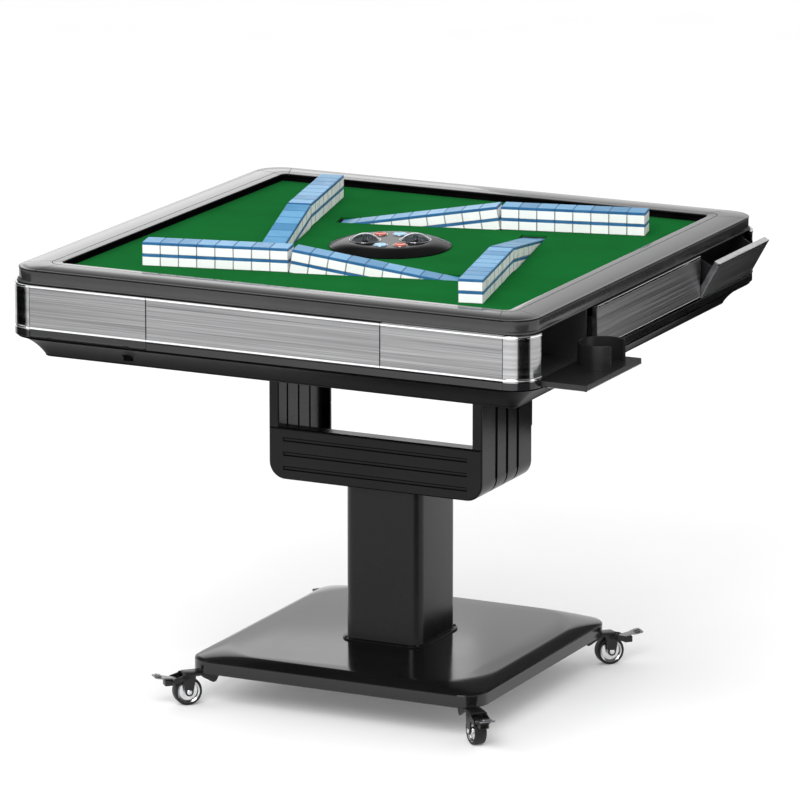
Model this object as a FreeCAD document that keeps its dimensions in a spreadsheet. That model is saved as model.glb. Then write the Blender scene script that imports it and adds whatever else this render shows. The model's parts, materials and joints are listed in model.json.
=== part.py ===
# Folding game table with drawers, cup trays and bins on its four sides, standing on a column with casters.
# Millimetres, +Z up. The origin lies on the floor below the middle of the playing surface, and the front
# side faces -Y. Pieces of the table top are drawn on the front side, above the underside of the hull, and
# then turned to the other three sides.
import FreeCAD, Part
import math
import os
import re

from FreeCAD import Placement, Rotation, Vector

doc = FreeCAD.newDocument("GameTable")
sheet = doc.addObject("Spreadsheet::Sheet", "Sizes")

sizes = {
    # base on casters, set back from the middle of the top towards the fold hinge
    "floor_to_base": 59, "pedestal_set_back": 40, "base_side": 555, "base_corner_radius": 45,
    "base_edge_height": 23, "base_rise": 10, "base_slope_run": 22, "base_plateau_radius": 130,
    "base_wall": 3, "base_border": 16,
    "frame_plate": 8, "frame_clearance": 0.5, "boss_radius": 11, "boss_height": 18,
    # column and its foot flange
    "column_width": 145, "column_depth": 156, "column_height": 280, "column_radius": 16, "column_wall": 4,
    "flange_margin": 8, "flange_height": 8,
    # yoke: a cross box on the column and two upright arms; behind its front wall the box is lower, and the
    # arms are channels that open towards each other
    "yoke_width": 407, "yoke_depth": 206, "yoke_height": 92, "yoke_radius": 30, "yoke_wall": 5,
    "yoke_edge_round": 4, "yoke_bed": 40, "yoke_lip": 28, "arm_thickness": 19, "arm_wall": 6.5,
    "arm_height": 180, "groove_width": 6, "groove_depth": 2.2, "box_groove_pitch": 25.5,
    "arm_groove_pitch": 43.5, "groove_margin": 28, "arm_groove_margin": 8,
    # fold hinge behind the arms
    "fold_pin_radius": 8, "fold_lug_radius": 14, "fold_lug_gap": 0.5, "fold_pin_reach": 8,
    "knuckle_radius": 13.5, "knuckle_length": 30, "leaf_thickness": 5, "leaf_reach": 32,
    "pin_clearance": 0.05, "press_clearance": 0.02,
    # casters, drawn with the stem on the origin and the wheel trailing along +X
    "stem_offset": 249, "stem_radius": 5, "stem_length": 16, "caster_trail": 38, "wheel_radius": 25,
    "wheel_width": 22, "tyre_thickness": 5, "tyre_round": 3, "hub_width": 16, "axle_radius": 3,
    "head_gap": 0.3, "crown_height": 7, "crown_back": 18, "crown_front": 42,
    "cheek_thickness": 3, "cheek_gap": 1, "cheek_depth": 36,
    "brake_offset": 62, "brake_height": 46, "brake_pin_radius": 2, "brake_knuckle": 4,
    "brake_reach": 38, "brake_thickness": 3, "brake_side_gap": 0.5, "bump_length": 12, "bump_height": 3,
    # levels of the table top, from the underside of the hull upwards
    "hull_height": 38, "floor_thickness": 4, "lower_band_height": 12, "fascia_height": 78,
    "ceiling_gap": 1, "ceiling_thickness": 3, "board_thickness": 6, "felt_thickness": 3,
    "skirt_height": 19, "rim_height": 4,
    # plan of the table top
    "band_side": 970, "corner_extent": 47, "corner_wall": 4, "band_wall": 10, "band_seam": 0.4,
    "hull_foot_inset": 45.5, "hull_foot_radius": 15, "hull_foot_round": 4, "hull_flare": 43.5,
    "hull_wall": 11, "hull_floor": 6, "frame_inset": 5, "frame_radius": 42,
    "floor_bar_width": 135, "ceiling_bar_width": 80,
    "skirt_inset": 1.5, "skirt_width": 63.5, "board_gap": 2, "rim_inset": 1, "rim_radius": 46,
    "rim_width": 69, "rim_inner_radius": 10, "rim_outer_round": 2.6, "rim_inner_round": 1.6,
    "rim_seam_lead": 7, "rim_corner_length": 42,
    "rim_groove_inset": 16, "rim_groove_width": 1.2, "rim_groove_depth": 1.2,
    # drawers and the bays around them
    "drawer_width": 433, "panel_gap": 0.4, "panel_thickness": 10, "panel_round": 1.2,
    "drawer_box_width": 410, "drawer_depth": 125, "drawer_box_height": 52, "drawer_wall": 4,
    "runner_height": 17, "runner_width": 24, "runner_gap": 0.3, "post_side": 25,
    "mullion_width": 5, "mullion_setback": 9, "mullion_depth": 116,
    # flaps: hinge axis inside the rounded foot of the panel, cup ring and bin behind it
    "hinge_inset": 4, "lug_radius": 3, "lug_width": 8, "lug_stem": 3, "lug_reach": 12, "notch_width": 9,
    "notch_radius": 3.5, "hinge_pin_radius": 1.6, "lug_inset": 37.75,
    "ring_radius": 38, "ring_wall": 3, "ring_height": 38, "ring_rise": 44, "ring_slot": 58,
    "ring_shift": 43,
    "bin_inset": 15.75, "bin_depth": 42, "bin_height": 55, "bin_foot": 6, "bin_wall": 2,
    # tiles in walls of two layers, half of each wall on a ramp; the walls lie in a pinwheel, off the middle
    "tile_length": 42, "tile_width": 31.5, "tile_thickness": 20.5, "tile_spacing": 31.7,
    "walls_right": 20, "walls_forward": 8, "wall_outer_offset": 228, "wall_start_offset": 394,
    "ramp_length": 286, "ramp_width": 43, "ramp_thickness": 5, "ramp_axis_depth": 6,
    "ramp_barrel_radius": 2.5, "ramp_pin_radius": 1.5, "ramp_pin_reach": 4, "ramp_start": 1,
    "slot_width": 46, "slot_length": 297, "slot_lead": 3.5,
    # console in the middle of the top
    "console_radius": 105, "console_gap": 0.3, "console_edge": 2, "console_height": 11,
    "console_flat_radius": 62, "console_crown": 8.6, "console_hole": 98, "console_stem_radius": 16,
    "console_stem_length": 88, "button_radius": 11, "button_height": 7, "button_proud": 2.5,
    "button_orbit": 47, "pocket_clearance": 0.3, "pocket_depth": 7, "dome_orbit": 43, "dome_radius": 26,
    "dome_rise": 12, "dome_wall": 1.6, "dice_side": 9,
    # tile drum below the board
    "post_radius": 22, "post_height": 120, "drum_radius": 225, "drum_thickness": 6, "drum_gap": 0.3,
    "drum_hub_radius": 45, "drum_hub_height": 15, "motor_radius": 70, "motor_height": 40,
    # rocker switch in the front of the hull
    "switch_offset": 270, "switch_width": 14.8, "switch_height": 10.6, "switch_depth": 8,
    "switch_level": 16, "switch_gap": 0.6, "switch_seat": 2.5, "switch_recess": 1.5,
    # every cut runs past the faces it opens
    "overrun": 5,
}
angles = {"switch_tilt": 5, "wall_turn": 13.5, "ramp_drop": 9, "cup_open": 90, "bin_open": 29,
          "console_turn": 26, "button_spread": 21}
counts = {"flat_stacks": 8, "ramp_stacks": 9, "layers": 2, "grooves": 3}

for row, (alias, value) in enumerate({**sizes, **angles, **counts}.items(), start=1):
    sheet.set(f"A{row}", alias)
    sheet.set(f"B{row}", str(value))
    sheet.setAlias(f"B{row}", alias)
doc.recompute()
probe = doc.addObject("Part::Vertex", "Probe")
nodes = {}
up = Vector(0, 0, 1)
along_x = Rotation(Vector(0, 1, 0), 90)
along_y = Rotation(Vector(1, 0, 0), -90)
upright_axis = Rotation()
quarter_turn, full_turn = 90, 360
diagonal_share = math.sqrt(0.5)
straight_share = 0.99


# Sizes written as text name cells of the sheet
def expr(text):
    return re.sub(r"[a-z_]+", lambda word: "Sizes." + word.group(), text)


def measure(text):
    probe.setExpression("X", expr(text))
    probe.recompute()
    return float(probe.X)


def place(item, x="0", y="0", z="0"):
    for axis, text in (("x", x), ("y", y), ("z", z)):
        item.setExpression(f"Placement.Base.{axis}", expr(text))
    return item


# Building blocks: each range is a pair of sizes, from and to
def box(x, y, z):
    item = doc.addObject("Part::Box", "Block")
    for side, (low, high) in zip(("Length", "Width", "Height"), (x, y, z)):
        item.setExpression(side, expr(f"({high}) - ({low})"))
    return place(item, x[0], y[0], z[0])


def square(side, z):
    return box((f"-({side}) / 2", f"({side}) / 2"), (f"-({side}) / 2", f"({side}) / 2"), z)


def rod(radius, length, turn=upright_axis, x="0", y="0", z="0"):
    item = doc.addObject("Part::Cylinder", "Rod")
    item.setExpression("Radius", expr(radius))
    item.setExpression("Height", expr(length))
    item.Placement = Placement(Vector(), turn)
    return place(item, x, y, z)


def fuse(*items):
    item = doc.addObject("Part::MultiFuse", "Joined")
    item.Shapes = list(items)
    return item


def group(*items):
    item = doc.addObject("Part::Compound", "Group")
    item.Links = list(items)
    return item


def cut(base, *tools):
    item = doc.addObject("Part::Cut", "Opened")
    item.Base = base
    item.Tool = tools[0] if len(tools) == 1 else fuse(*tools)
    return item


def common(base, tool):
    item = doc.addObject("Part::Common", "Shared")
    item.Base = base
    item.Tool = tool
    return item


def rounded(base, radius, picked):
    doc.recompute()
    amount = measure(radius)
    item = doc.addObject("Part::Fillet", "Rounded")
    item.Base = base
    item.Edges = [(number, amount, amount) for number, edge in enumerate(base.Shape.Edges, start=1)
                  if picked(edge)]
    return item


def feature(shape):
    item = doc.addObject("Part::Feature", "Shaped")
    item.Shape = shape
    return item


def runs(edge, direction):
    if edge.Curve.TypeId != "Part::GeomLine":
        return False
    return abs(edge.tangentAt(edge.FirstParameter).dot(direction)) > straight_share


def upright(edge):
    return runs(edge, up)


def slab(side, radius, z):
    return rounded(square(side, z), radius, upright)


def node(label, item, x="0", y="0", z="0"):
    item.Label = label
    nodes[label] = place(item, x, y, z)
    return item


def placed(label, source, placement):
    item = feature(source.Shape.copy())
    item.Label = label
    item.Placement = placement
    nodes[label] = item
    return item


def rounded_square(side, radius, z):
    half = side / 2
    reach = half - radius
    diagonal = reach + radius * diagonal_share
    edges = []
    for quarter in range(4):
        turn = Rotation(up, quarter * quarter_turn)
        start, end = turn.multVec(Vector(-reach, -half, z)), turn.multVec(Vector(reach, -half, z))
        middle = turn.multVec(Vector(diagonal, -diagonal, z))
        finish = turn.multVec(Vector(half, -reach, z))
        edges += [Part.LineSegment(start, end).toShape(), Part.Arc(end, middle, finish).toShape()]
    return Part.Wire(edges)


# Levels of the pieces, added up from the floor and from the underside of the hull
base_top = "floor_to_base + base_edge_height + base_rise"
yoke_level = f"{base_top} + column_height"
arm_level = f"{yoke_level} + yoke_height"
table_level = f"{arm_level} + arm_height"
band_level = "hull_height + floor_thickness"
fascia_level = f"{band_level} + lower_band_height"
fascia_top = f"{fascia_level} + fascia_height"
ceiling_level = f"{fascia_top} + ceiling_gap"
board_level = f"{ceiling_level} + ceiling_thickness"
felt_level = f"{board_level} + board_thickness"
top_level = f"{felt_level} + felt_thickness"
rim_level = f"{board_level} + skirt_height"
set_back = "pedestal_set_back"

# Sides of the square outlines, each a margin inside the one around it
hull_foot_side = "(band_side - 2 * hull_foot_inset)"
frame_side = "(band_side - 2 * frame_inset)"
skirt_side = "(band_side - 2 * skirt_inset)"
skirt_inner_side = f"({skirt_side} - 2 * skirt_width)"
board_side = f"({skirt_inner_side} - 2 * board_gap)"
rim_side = "(band_side - 2 * rim_inset)"
rim_inner_side = f"({rim_side} - 2 * rim_width)"
rim_groove_side = f"({rim_inner_side} + 2 * rim_groove_inset)"
flap_width = "(band_side / 2 - corner_extent - drawer_width / 2)"
table_height = measure(table_level)
sides = {"front": 0, "right": 90, "back": 180, "left": 270}


def on_side(side):
    return Placement(Vector(0, 0, table_height), Rotation(up, sides[side]))


# Base: a hollow cover with sloped borders over a steel frame
def base_cover():
    side, radius = measure("base_side"), measure("base_corner_radius")
    plateau_radius = measure("base_plateau_radius")
    run, edge = measure("base_slope_run"), measure("base_edge_height")
    top = measure("base_edge_height + base_rise")
    lower = Part.Face(rounded_square(side, radius, 0)).extrude(Vector(0, 0, edge))
    slope = Part.makeLoft(
        [rounded_square(side, radius, edge), rounded_square(side - 2 * run, plateau_radius, top)], True, True)
    cover = feature(lower.fuse(slope).removeSplitter())
    below = square("base_side - 2 * base_border", ("-overrun", "base_edge_height - base_wall"))
    above = slab("base_side - 2 * (base_slope_run + base_wall)", "base_plateau_radius",
                 ("0", "base_edge_height + base_rise - base_wall"))
    node("base_cover", cut(cover, below, above), y=set_back, z="floor_to_base")


def base_underframe():
    plate = square("base_side - 2 * (base_border + frame_clearance)", ("0", "frame_plate"))
    block = box(("-column_width / 2", "column_width / 2"), ("-column_depth / 2", "column_depth / 2"),
                ("0", "base_edge_height + base_rise - base_wall"))
    bosses, holes = [], []
    for sign_x in ("", "-"):
        for sign_y in ("", "-"):
            spot = {"x": f"{sign_x}stem_offset", "y": f"{sign_y}stem_offset"}
            bosses.append(rod("boss_radius", "boss_height", **spot))
            holes.append(rod("stem_radius + pin_clearance", "boss_height + 2 * overrun", z="-overrun",
                             **spot))
    node("base_underframe", cut(fuse(plate, block, *bosses), *holes), y=set_back, z="floor_to_base")


def column():
    tube = rounded(box(("-column_width / 2", "column_width / 2"), ("-column_depth / 2", "column_depth / 2"),
                       ("0", "column_height")), "column_radius", upright)
    foot = rounded(box(("-column_width / 2 - flange_margin", "column_width / 2 + flange_margin"),
                       ("-column_depth / 2 - flange_margin", "column_depth / 2 + flange_margin"),
                       ("0", "flange_height")), "column_radius + flange_margin", upright)
    bore = rounded(box(("-column_width / 2 + column_wall", "column_width / 2 - column_wall"),
                       ("-column_depth / 2 + column_wall", "column_depth / 2 - column_wall"),
                       ("-overrun", "column_height + overrun")), "column_radius - column_wall", upright)
    node("column", cut(fuse(tube, foot), bore), y=set_back, z=base_top)


# Yoke: grooved cross box and arms, open between the arms and behind the front wall of the box
def groove_row(low, high, z):
    grooves = []
    for index in range(counts["grooves"]):
        middle = f"({index} - (grooves - 1) / 2) * arm_groove_pitch"
        grooves.append(box((low, high), (f"{middle} - groove_width / 2", f"{middle} + groove_width / 2"), z))
    return grooves


def yoke_box():
    body = box(("-yoke_width / 2", "yoke_width / 2"), ("-yoke_depth / 2", "yoke_depth / 2"),
               ("0", "yoke_height"))

    def lower_corner(edge):
        return runs(edge, Vector(0, 1, 0)) and edge.BoundBox.ZMax < measure("yoke_wall")

    def on_front_or_back(edge):
        return edge.BoundBox.YLength < measure("groove_depth") and not runs(edge, Vector(0, 1, 0))

    body = rounded(rounded(body, "yoke_radius", lower_corner), "yoke_edge_round", on_front_or_back)
    hollow = box(("-yoke_width / 2 + yoke_radius + yoke_wall", "yoke_width / 2 - yoke_radius - yoke_wall"),
                 ("-yoke_depth / 2 + yoke_wall", "yoke_depth / 2 - yoke_wall"),
                 ("yoke_wall", "yoke_bed - yoke_wall"))
    between = ("-yoke_width / 2 + arm_wall", "yoke_width / 2 - arm_wall")
    pocket = box(between, ("-yoke_depth / 2 + yoke_wall", "yoke_depth / 2 - yoke_wall"),
                 ("yoke_bed", "yoke_height - yoke_wall"))
    mouth = box(between, ("-yoke_depth / 2 + yoke_lip", "yoke_depth / 2 - yoke_wall"),
                ("yoke_bed", "yoke_height + overrun"))
    rear = box(("-yoke_width / 2 + arm_thickness", "yoke_width / 2 - arm_thickness"),
               ("0", "yoke_depth / 2 + overrun"), ("yoke_bed", "yoke_height + overrun"))
    grooves = []
    for index in range(counts["grooves"]):
        level = f"yoke_height / 2 + ({index} - (grooves - 1) / 2) * box_groove_pitch"
        grooves.append(box(("-yoke_width / 2 + groove_margin", "yoke_width / 2 - groove_margin"),
                           ("-yoke_depth / 2 - overrun", "-yoke_depth / 2 + groove_depth"),
                           (f"{level} - groove_width / 2", f"{level} + groove_width / 2")))
    for low, high in ((f"{between[0]} - groove_depth", between[0]),
                      (between[1], f"{between[1]} + groove_depth")):
        grooves += groove_row(low, high, ("yoke_bed", "yoke_height + overrun"))
    kept = box(("-yoke_width / 2 + groove_depth", "yoke_width / 2 - groove_depth"),
               ("-yoke_depth / 2 - overrun", "yoke_depth / 2 + overrun"),
               ("groove_depth", "yoke_height + overrun"))
    kept = rounded(kept, "yoke_radius - groove_depth", lower_corner)
    slices = []
    for low, high in (("-yoke_width / 2 - overrun", "-yoke_width / 2 + yoke_radius"),
                      ("yoke_width / 2 - yoke_radius", "yoke_width / 2 + overrun")):
        slices += groove_row(low, high, ("-overrun", "yoke_height + overrun"))
    flanks = cut(fuse(*slices), kept)
    node("yoke_cross_box", cut(body, hollow, pocket, mouth, rear, flanks, *grooves), y=set_back, z=yoke_level)


fold_y = "yoke_depth / 2 + fold_pin_reach"
fold_z = "arm_height - fold_lug_radius - fold_lug_gap"


def yoke_arms():
    arms = []
    half = "yoke_width / 2"
    left = {"across": (f"-{half}", f"-{half} + arm_thickness"),
            "hollow": (f"-{half} + arm_wall", f"-{half} + arm_thickness + overrun"),
            "outside": (f"-{half} - overrun", f"-{half} + groove_depth"),
            "inside": (f"-{half} + arm_wall - groove_depth", f"-{half} + arm_wall")}
    right = {"across": (f"{half} - arm_thickness", half),
             "hollow": (f"{half} - arm_thickness - overrun", f"{half} - arm_wall"),
             "outside": (f"{half} - groove_depth", f"{half} + overrun"),
             "inside": (f"{half} - arm_wall", f"{half} - arm_wall + groove_depth")}
    for arm in (left, right):
        low, high = arm["across"]
        plate = box((low, high), ("-yoke_depth / 2", "yoke_depth / 2"), ("0", "arm_height"))
        plate = rounded(plate, "yoke_edge_round", lambda edge: upright(edge) and edge.BoundBox.YMax < 0)
        pocket = box(arm["hollow"], ("-yoke_depth / 2 + yoke_wall", "yoke_depth / 2 - yoke_wall"),
                     ("-overrun", "arm_height - yoke_wall"))
        channel = cut(plate, pocket)
        lug = rod("fold_lug_radius", "arm_thickness", along_x, low, fold_y, fold_z)
        web = box((low, high), ("yoke_depth / 2 - fold_lug_radius", fold_y),
                  (f"{fold_z} - fold_lug_radius", f"{fold_z} + fold_lug_radius"))
        bore = rod("fold_pin_radius + press_clearance", "arm_thickness + 2 * overrun", along_x,
                   f"{low} - overrun", fold_y, fold_z)
        levels = ("-overrun", "arm_height - arm_groove_margin")
        grooves = groove_row(*arm["outside"], levels) + groove_row(*arm["inside"], levels)
        arms.append(cut(fuse(channel, lug, web), bore, *grooves))
    node("yoke_arms", group(*arms), y=set_back, z=arm_level)


# Fold hinge: two pins in the arms, and two knuckles below the hull that turn on them
def fold_hinge():
    pins, knuckles = [], []
    gap = "fold_lug_gap"
    inside = "yoke_width / 2 - arm_thickness"
    length = f"arm_thickness + {gap} + knuckle_length"
    leaf_top = f"{fold_z} + fold_lug_radius + fold_lug_gap"
    right = (f"{inside} - {gap} - knuckle_length", f"{inside} - {gap}")
    left = (f"-({inside}) + {gap}", f"-({inside}) + {gap} + knuckle_length")
    for start, (low, high) in ((right[0], right), ("-yoke_width / 2", left)):
        pins.append(rod("fold_pin_radius", length, along_x, start, fold_y, fold_z))
        barrel = rod("knuckle_radius", "knuckle_length", along_x, low, fold_y, fold_z)
        web = box((low, high), (f"{fold_y} - knuckle_radius", f"{fold_y} + knuckle_radius"),
                  (fold_z, leaf_top))
        leaf = box((low, high), (f"{fold_y} - leaf_reach", f"{fold_y} + leaf_reach"),
                   (f"{leaf_top} - leaf_thickness", leaf_top))
        bore = rod("fold_pin_radius + pin_clearance", "knuckle_length + 2 * overrun", along_x,
                   f"{low} - overrun", fold_y, fold_z)
        knuckles.append(cut(fuse(barrel, web, leaf), bore))
    node("fold_pins", group(*pins), y=set_back, z=arm_level)
    node("fold_bracket", group(*knuckles), y=set_back, z=arm_level)


# Casters: fork with its stem and axle, wheel of tyre and hub, and brake pedal
def casters():
    head = "floor_to_base - head_gap"
    cheek_in = "wheel_width / 2 + cheek_gap"
    cheek_out = f"{cheek_in} + cheek_thickness"
    crown = box(("-crown_back", "crown_front"), (f"-({cheek_out})", cheek_out),
                (f"{head} - crown_height", head))
    stem = rod("stem_radius", "stem_length + head_gap", z=head)
    axle = rod("axle_radius", f"2 * ({cheek_out})", along_y,
               "caster_trail", f"-({cheek_out})", "wheel_radius")
    cheeks, pin_holes = [], []
    for low, high in ((f"-({cheek_out})", f"-({cheek_in})"), (cheek_in, cheek_out)):
        cheeks.append(box(("-crown_back / 2", "crown_front"), (low, high),
                          (f"{head} - crown_height - cheek_depth / 2", head)))
        cheeks.append(box(("caster_trail - 2 * axle_radius", "caster_trail + 2 * axle_radius"), (low, high),
                          ("wheel_radius - 2 * axle_radius", head)))
        cheeks.append(box(("caster_trail", "brake_offset + brake_knuckle"), (low, high),
                          ("brake_height - brake_knuckle", "brake_height + brake_knuckle")))
        pin_holes.append(rod("brake_pin_radius + pin_clearance", "cheek_thickness + 2 * overrun", along_y,
                             "brake_offset", f"{low} - overrun", "brake_height"))
    fork = fuse(cut(fuse(crown, *cheeks), *pin_holes), stem, axle)

    tyre_ring = rod("wheel_radius", "wheel_width", along_y,
                    "caster_trail", "-wheel_width / 2", "wheel_radius")
    tyre_hole = rod("wheel_radius - tyre_thickness", "wheel_width + 2 * overrun", along_y,
                    "caster_trail", "-wheel_width / 2 - overrun", "wheel_radius")
    tyre_ring = rounded(tyre_ring, "tyre_round", lambda edge: edge.Curve.TypeId == "Part::GeomCircle")
    tyre = cut(tyre_ring, tyre_hole)
    hub_disc = rod("wheel_radius - tyre_thickness", "hub_width", along_y,
                   "caster_trail", "-hub_width / 2", "wheel_radius")
    hub_core = rod("2 * axle_radius", "wheel_width", along_y,
                   "caster_trail", "-wheel_width / 2", "wheel_radius")
    hub_bore = rod("axle_radius + pin_clearance", "wheel_width + 2 * overrun", along_y,
                   "caster_trail", "-wheel_width / 2 - overrun", "wheel_radius")
    wheel = group(tyre, cut(fuse(hub_disc, hub_core), hub_bore))

    half_pedal = f"{cheek_in} - brake_side_gap"
    pin = rod("brake_pin_radius", f"2 * ({cheek_out})", along_y,
              "brake_offset", f"-({cheek_out})", "brake_height")
    barrel = rod("brake_knuckle", f"2 * ({half_pedal})", along_y,
                 "brake_offset", f"-({half_pedal})", "brake_height")
    pedal = box(("brake_offset", "brake_offset + brake_reach"), (f"-({half_pedal})", half_pedal),
                ("brake_height + brake_knuckle - brake_thickness", "brake_height + brake_knuckle"))
    bump = box(("brake_offset + brake_reach - bump_length", "brake_offset + brake_reach"),
               (f"-({half_pedal}) / 2", f"({half_pedal}) / 2"),
               ("brake_height + brake_knuckle", "brake_height + brake_knuckle + bump_height"))
    brake = fuse(pin, barrel, pedal, bump)
    doc.recompute()

    reach, back = measure("stem_offset") / diagonal_share, measure(set_back)
    for index, corner in enumerate(("back_right", "back_left", "front_left", "front_right")):
        outward = Rotation(up, index * quarter_turn + quarter_turn / 2)
        spot = Placement(outward.multVec(Vector(reach, 0, 0)) + Vector(0, back, 0), outward)
        placed(f"caster_fork_{corner}", fork, spot)
        placed(f"caster_wheel_{corner}", wheel, spot)
        placed(f"caster_brake_{corner}", brake, spot)


# Hull: a tub whose coved wall flares from the foot to the floor of the bays, with a pocket for the switch
def hull_tub():
    foot, flare, height = measure(f"{hull_foot_side} / 2"), measure("hull_flare"), measure("hull_height")
    wall = measure("hull_wall")
    path = rounded_square(measure(hull_foot_side), measure("hull_foot_radius"), 0)
    bend_share = 1 - diagonal_share
    cove_out_share, cove_up_share = 0.42, 0.57

    def at(outset, level):
        return Vector(0, -foot - outset, level)

    toe = measure("hull_foot_round")
    heel = Part.Arc(at(-toe, 0), at(-toe * bend_share, toe * bend_share), at(0, toe)).toShape()
    rise = height - toe
    belly = at(flare * cove_out_share, toe + rise * cove_up_share)
    cove = Part.Arc(at(0, toe), belly, at(flare, height)).toShape()
    corners = [at(flare, height), at(-wall, height), at(-wall, 0), at(-toe, 0)]
    rest = [Part.LineSegment(*ends).toShape() for ends in zip(corners, corners[1:])]
    ring = feature(path.makePipeShell([Part.Wire([heel, cove] + rest)], True, False))
    floor = square(f"{hull_foot_side} - 2 * hull_wall", ("0", "hull_floor"))
    deep = f"-{hull_foot_side} / 2 - switch_seat"
    half_width, half_height = "(switch_width / 2 + switch_gap)", "(switch_height / 2 + switch_gap)"
    pocket = box((f"-switch_offset - {half_width}", f"-switch_offset + {half_width}"),
                 ("-band_side / 2", deep),
                 (f"switch_level - {half_height}", f"switch_level + {half_height}"))
    node("hull_tub", cut(fuse(ring, floor), pocket), z=table_level)
    rocker = box(("-switch_offset - switch_width / 2", "-switch_offset + switch_width / 2"),
                 (f"{deep} - switch_recess - switch_depth", f"{deep} - switch_recess"),
                 ("switch_level - switch_height / 2", "switch_level + switch_height / 2"))
    tilted = group(rocker)
    doc.recompute()
    pivot = rocker.Shape.CenterOfMass
    tilted.Placement = Placement(Vector(), Rotation(Vector(1, 0, 0), -measure("switch_tilt")), pivot)
    node("power_switch", group(tilted), z=table_level)


# Hinges of the flaps: lugs of the frame hold the pins that bridge notches in each flap. The cup flap, at a
# player's left, reaches down over the lower band, and the bin flap, at the right, stands above it.
cup_sign, bin_sign = "-", ""
flap_foot = {cup_sign: f"{band_level} + panel_gap", bin_sign: f"{fascia_level} + panel_gap"}
flap_middle = "(drawer_width / 2 + band_side / 2 - corner_extent) / 2"
hinge_y = "-band_side / 2 + hinge_inset"
hinge_levels = {sign: f"{foot} + hinge_inset" for sign, foot in flap_foot.items()}
panel_out = "-band_side / 2"
panel_in = "-band_side / 2 + panel_thickness"
panel_top = f"{fascia_top} - panel_gap"


def lug_places(sign):
    middle = f"{sign}({flap_middle})"
    reach = f"({flap_width} / 2 - lug_inset)"
    return f"{middle} - {reach}", f"{middle} + {reach}"


# Frame of the bays, one side: a bar of its floor and ceiling, a corner post, and mullions, runners and lugs
def bay_side():
    pieces = []
    edge = f"{frame_side} / 2"
    for width, levels in (("floor_bar_width", ("hull_height", band_level)),
                          ("ceiling_bar_width", (ceiling_level, board_level))):
        bar = box((f"-{edge} + {width}", edge), (f"-{edge}", f"-{edge} + {width}"), levels)
        pieces.append(common(slab(frame_side, "frame_radius", levels), bar))
    for sign, hinge_z in hinge_levels.items():
        middle = f"{sign}drawer_width / 2"
        depth = (f"{panel_in} + mullion_setback", f"{panel_in} + mullion_setback + mullion_depth")
        pieces.append(box((f"{middle} - mullion_width / 2", f"{middle} + mullion_width / 2"), depth,
                          (band_level, ceiling_level)))
        edge = f"{sign}(drawer_box_width / 2 - runner_width / 2)"
        pieces.append(box((f"{edge} - runner_width / 2", f"{edge} + runner_width / 2"), depth,
                          (band_level, f"{band_level} + runner_height")))
        for spot in lug_places(sign):
            across = (f"{spot} - lug_width / 2", f"{spot} + lug_width / 2")
            barrel = rod("lug_radius", "lug_width", along_x, across[0], hinge_y, hinge_z)
            arm = box(across, (hinge_y, f"{hinge_y} + lug_reach"),
                      (f"{hinge_z} - lug_stem / 2", f"{hinge_z} + lug_stem / 2"))
            foot = box(across, (f"{hinge_y} + lug_reach - lug_stem", f"{hinge_y} + lug_reach"),
                       (band_level, f"{hinge_z} + lug_stem / 2"))
            bore = rod("hinge_pin_radius + pin_clearance", "lug_width + 2 * overrun", along_x,
                       f"{across[0]} - overrun", hinge_y, hinge_z)
            pieces.append(cut(fuse(barrel, arm, foot), bore))
    corner = ("band_side / 2 - corner_extent", "band_side / 2 - corner_extent + post_side")
    pieces.append(box(corner, (f"-({corner[1]})", f"-({corner[0]})"), (band_level, ceiling_level)))
    return group(*pieces)


def compartment_frame():
    bay = bay_side()
    doc.recompute()
    turned = []
    for turn in sides.values():
        copy = feature(bay.Shape.copy())
        copy.Placement = Placement(Vector(), Rotation(up, turn))
        turned.append(copy)
    node("compartment_frame", group(*turned), z=table_level)


# Bands around the sides: strip below the fascias, bright corners, skirt and rim
def lower_band():
    through = ("0", ceiling_level)
    ring = cut(slab("band_side", "corner_extent", (band_level, fascia_level)),
               slab("band_side - 2 * band_wall", "corner_extent - band_wall", through))
    end = "band_side / 2 - corner_extent"
    across = ("-band_side / 2 - overrun", "-band_side / 2 + band_wall + overrun")
    gap = group(box((f"-({end})", "-drawer_width / 2"), across, through),
                box((f"{end} - band_seam", end), across, through))
    doc.recompute()
    gaps = []
    for turn in sides.values():
        copy = feature(gap.Shape.copy())
        copy.Placement = Placement(Vector(), Rotation(up, turn))
        gaps.append(copy)
    node("lower_band", cut(ring, *gaps), z=table_level)


def band_corners():
    shells = []
    for turn in sides.values():
        outer = doc.addObject("Part::Cylinder", "CornerOuter")
        inner = doc.addObject("Part::Cylinder", "CornerInner")
        outer.setExpression("Radius", expr("corner_extent"))
        outer.setExpression("Height", expr("fascia_height"))
        inner.setExpression("Radius", expr("corner_extent - corner_wall"))
        inner.setExpression("Height", expr("fascia_height + 2 * overrun"))
        place(inner, z="-overrun")
        for item in (outer, inner):
            item.Angle = quarter_turn
        shell = cut(outer, inner)
        doc.recompute()
        reach = measure("band_side / 2 - corner_extent")
        centre = Rotation(up, turn).multVec(Vector(reach, -reach, measure(fascia_level)))
        shell.Placement = Placement(centre, Rotation(up, turn - quarter_turn))
        shells.append(shell)
    node("band_corners", group(*shells), z=table_level)


def skirt_band():
    ring = cut(slab(skirt_side, "rim_radius", (board_level, rim_level)),
               square(skirt_inner_side, (ceiling_level, f"{rim_level} + overrun")))
    node("skirt_band", ring, z=table_level)


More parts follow.
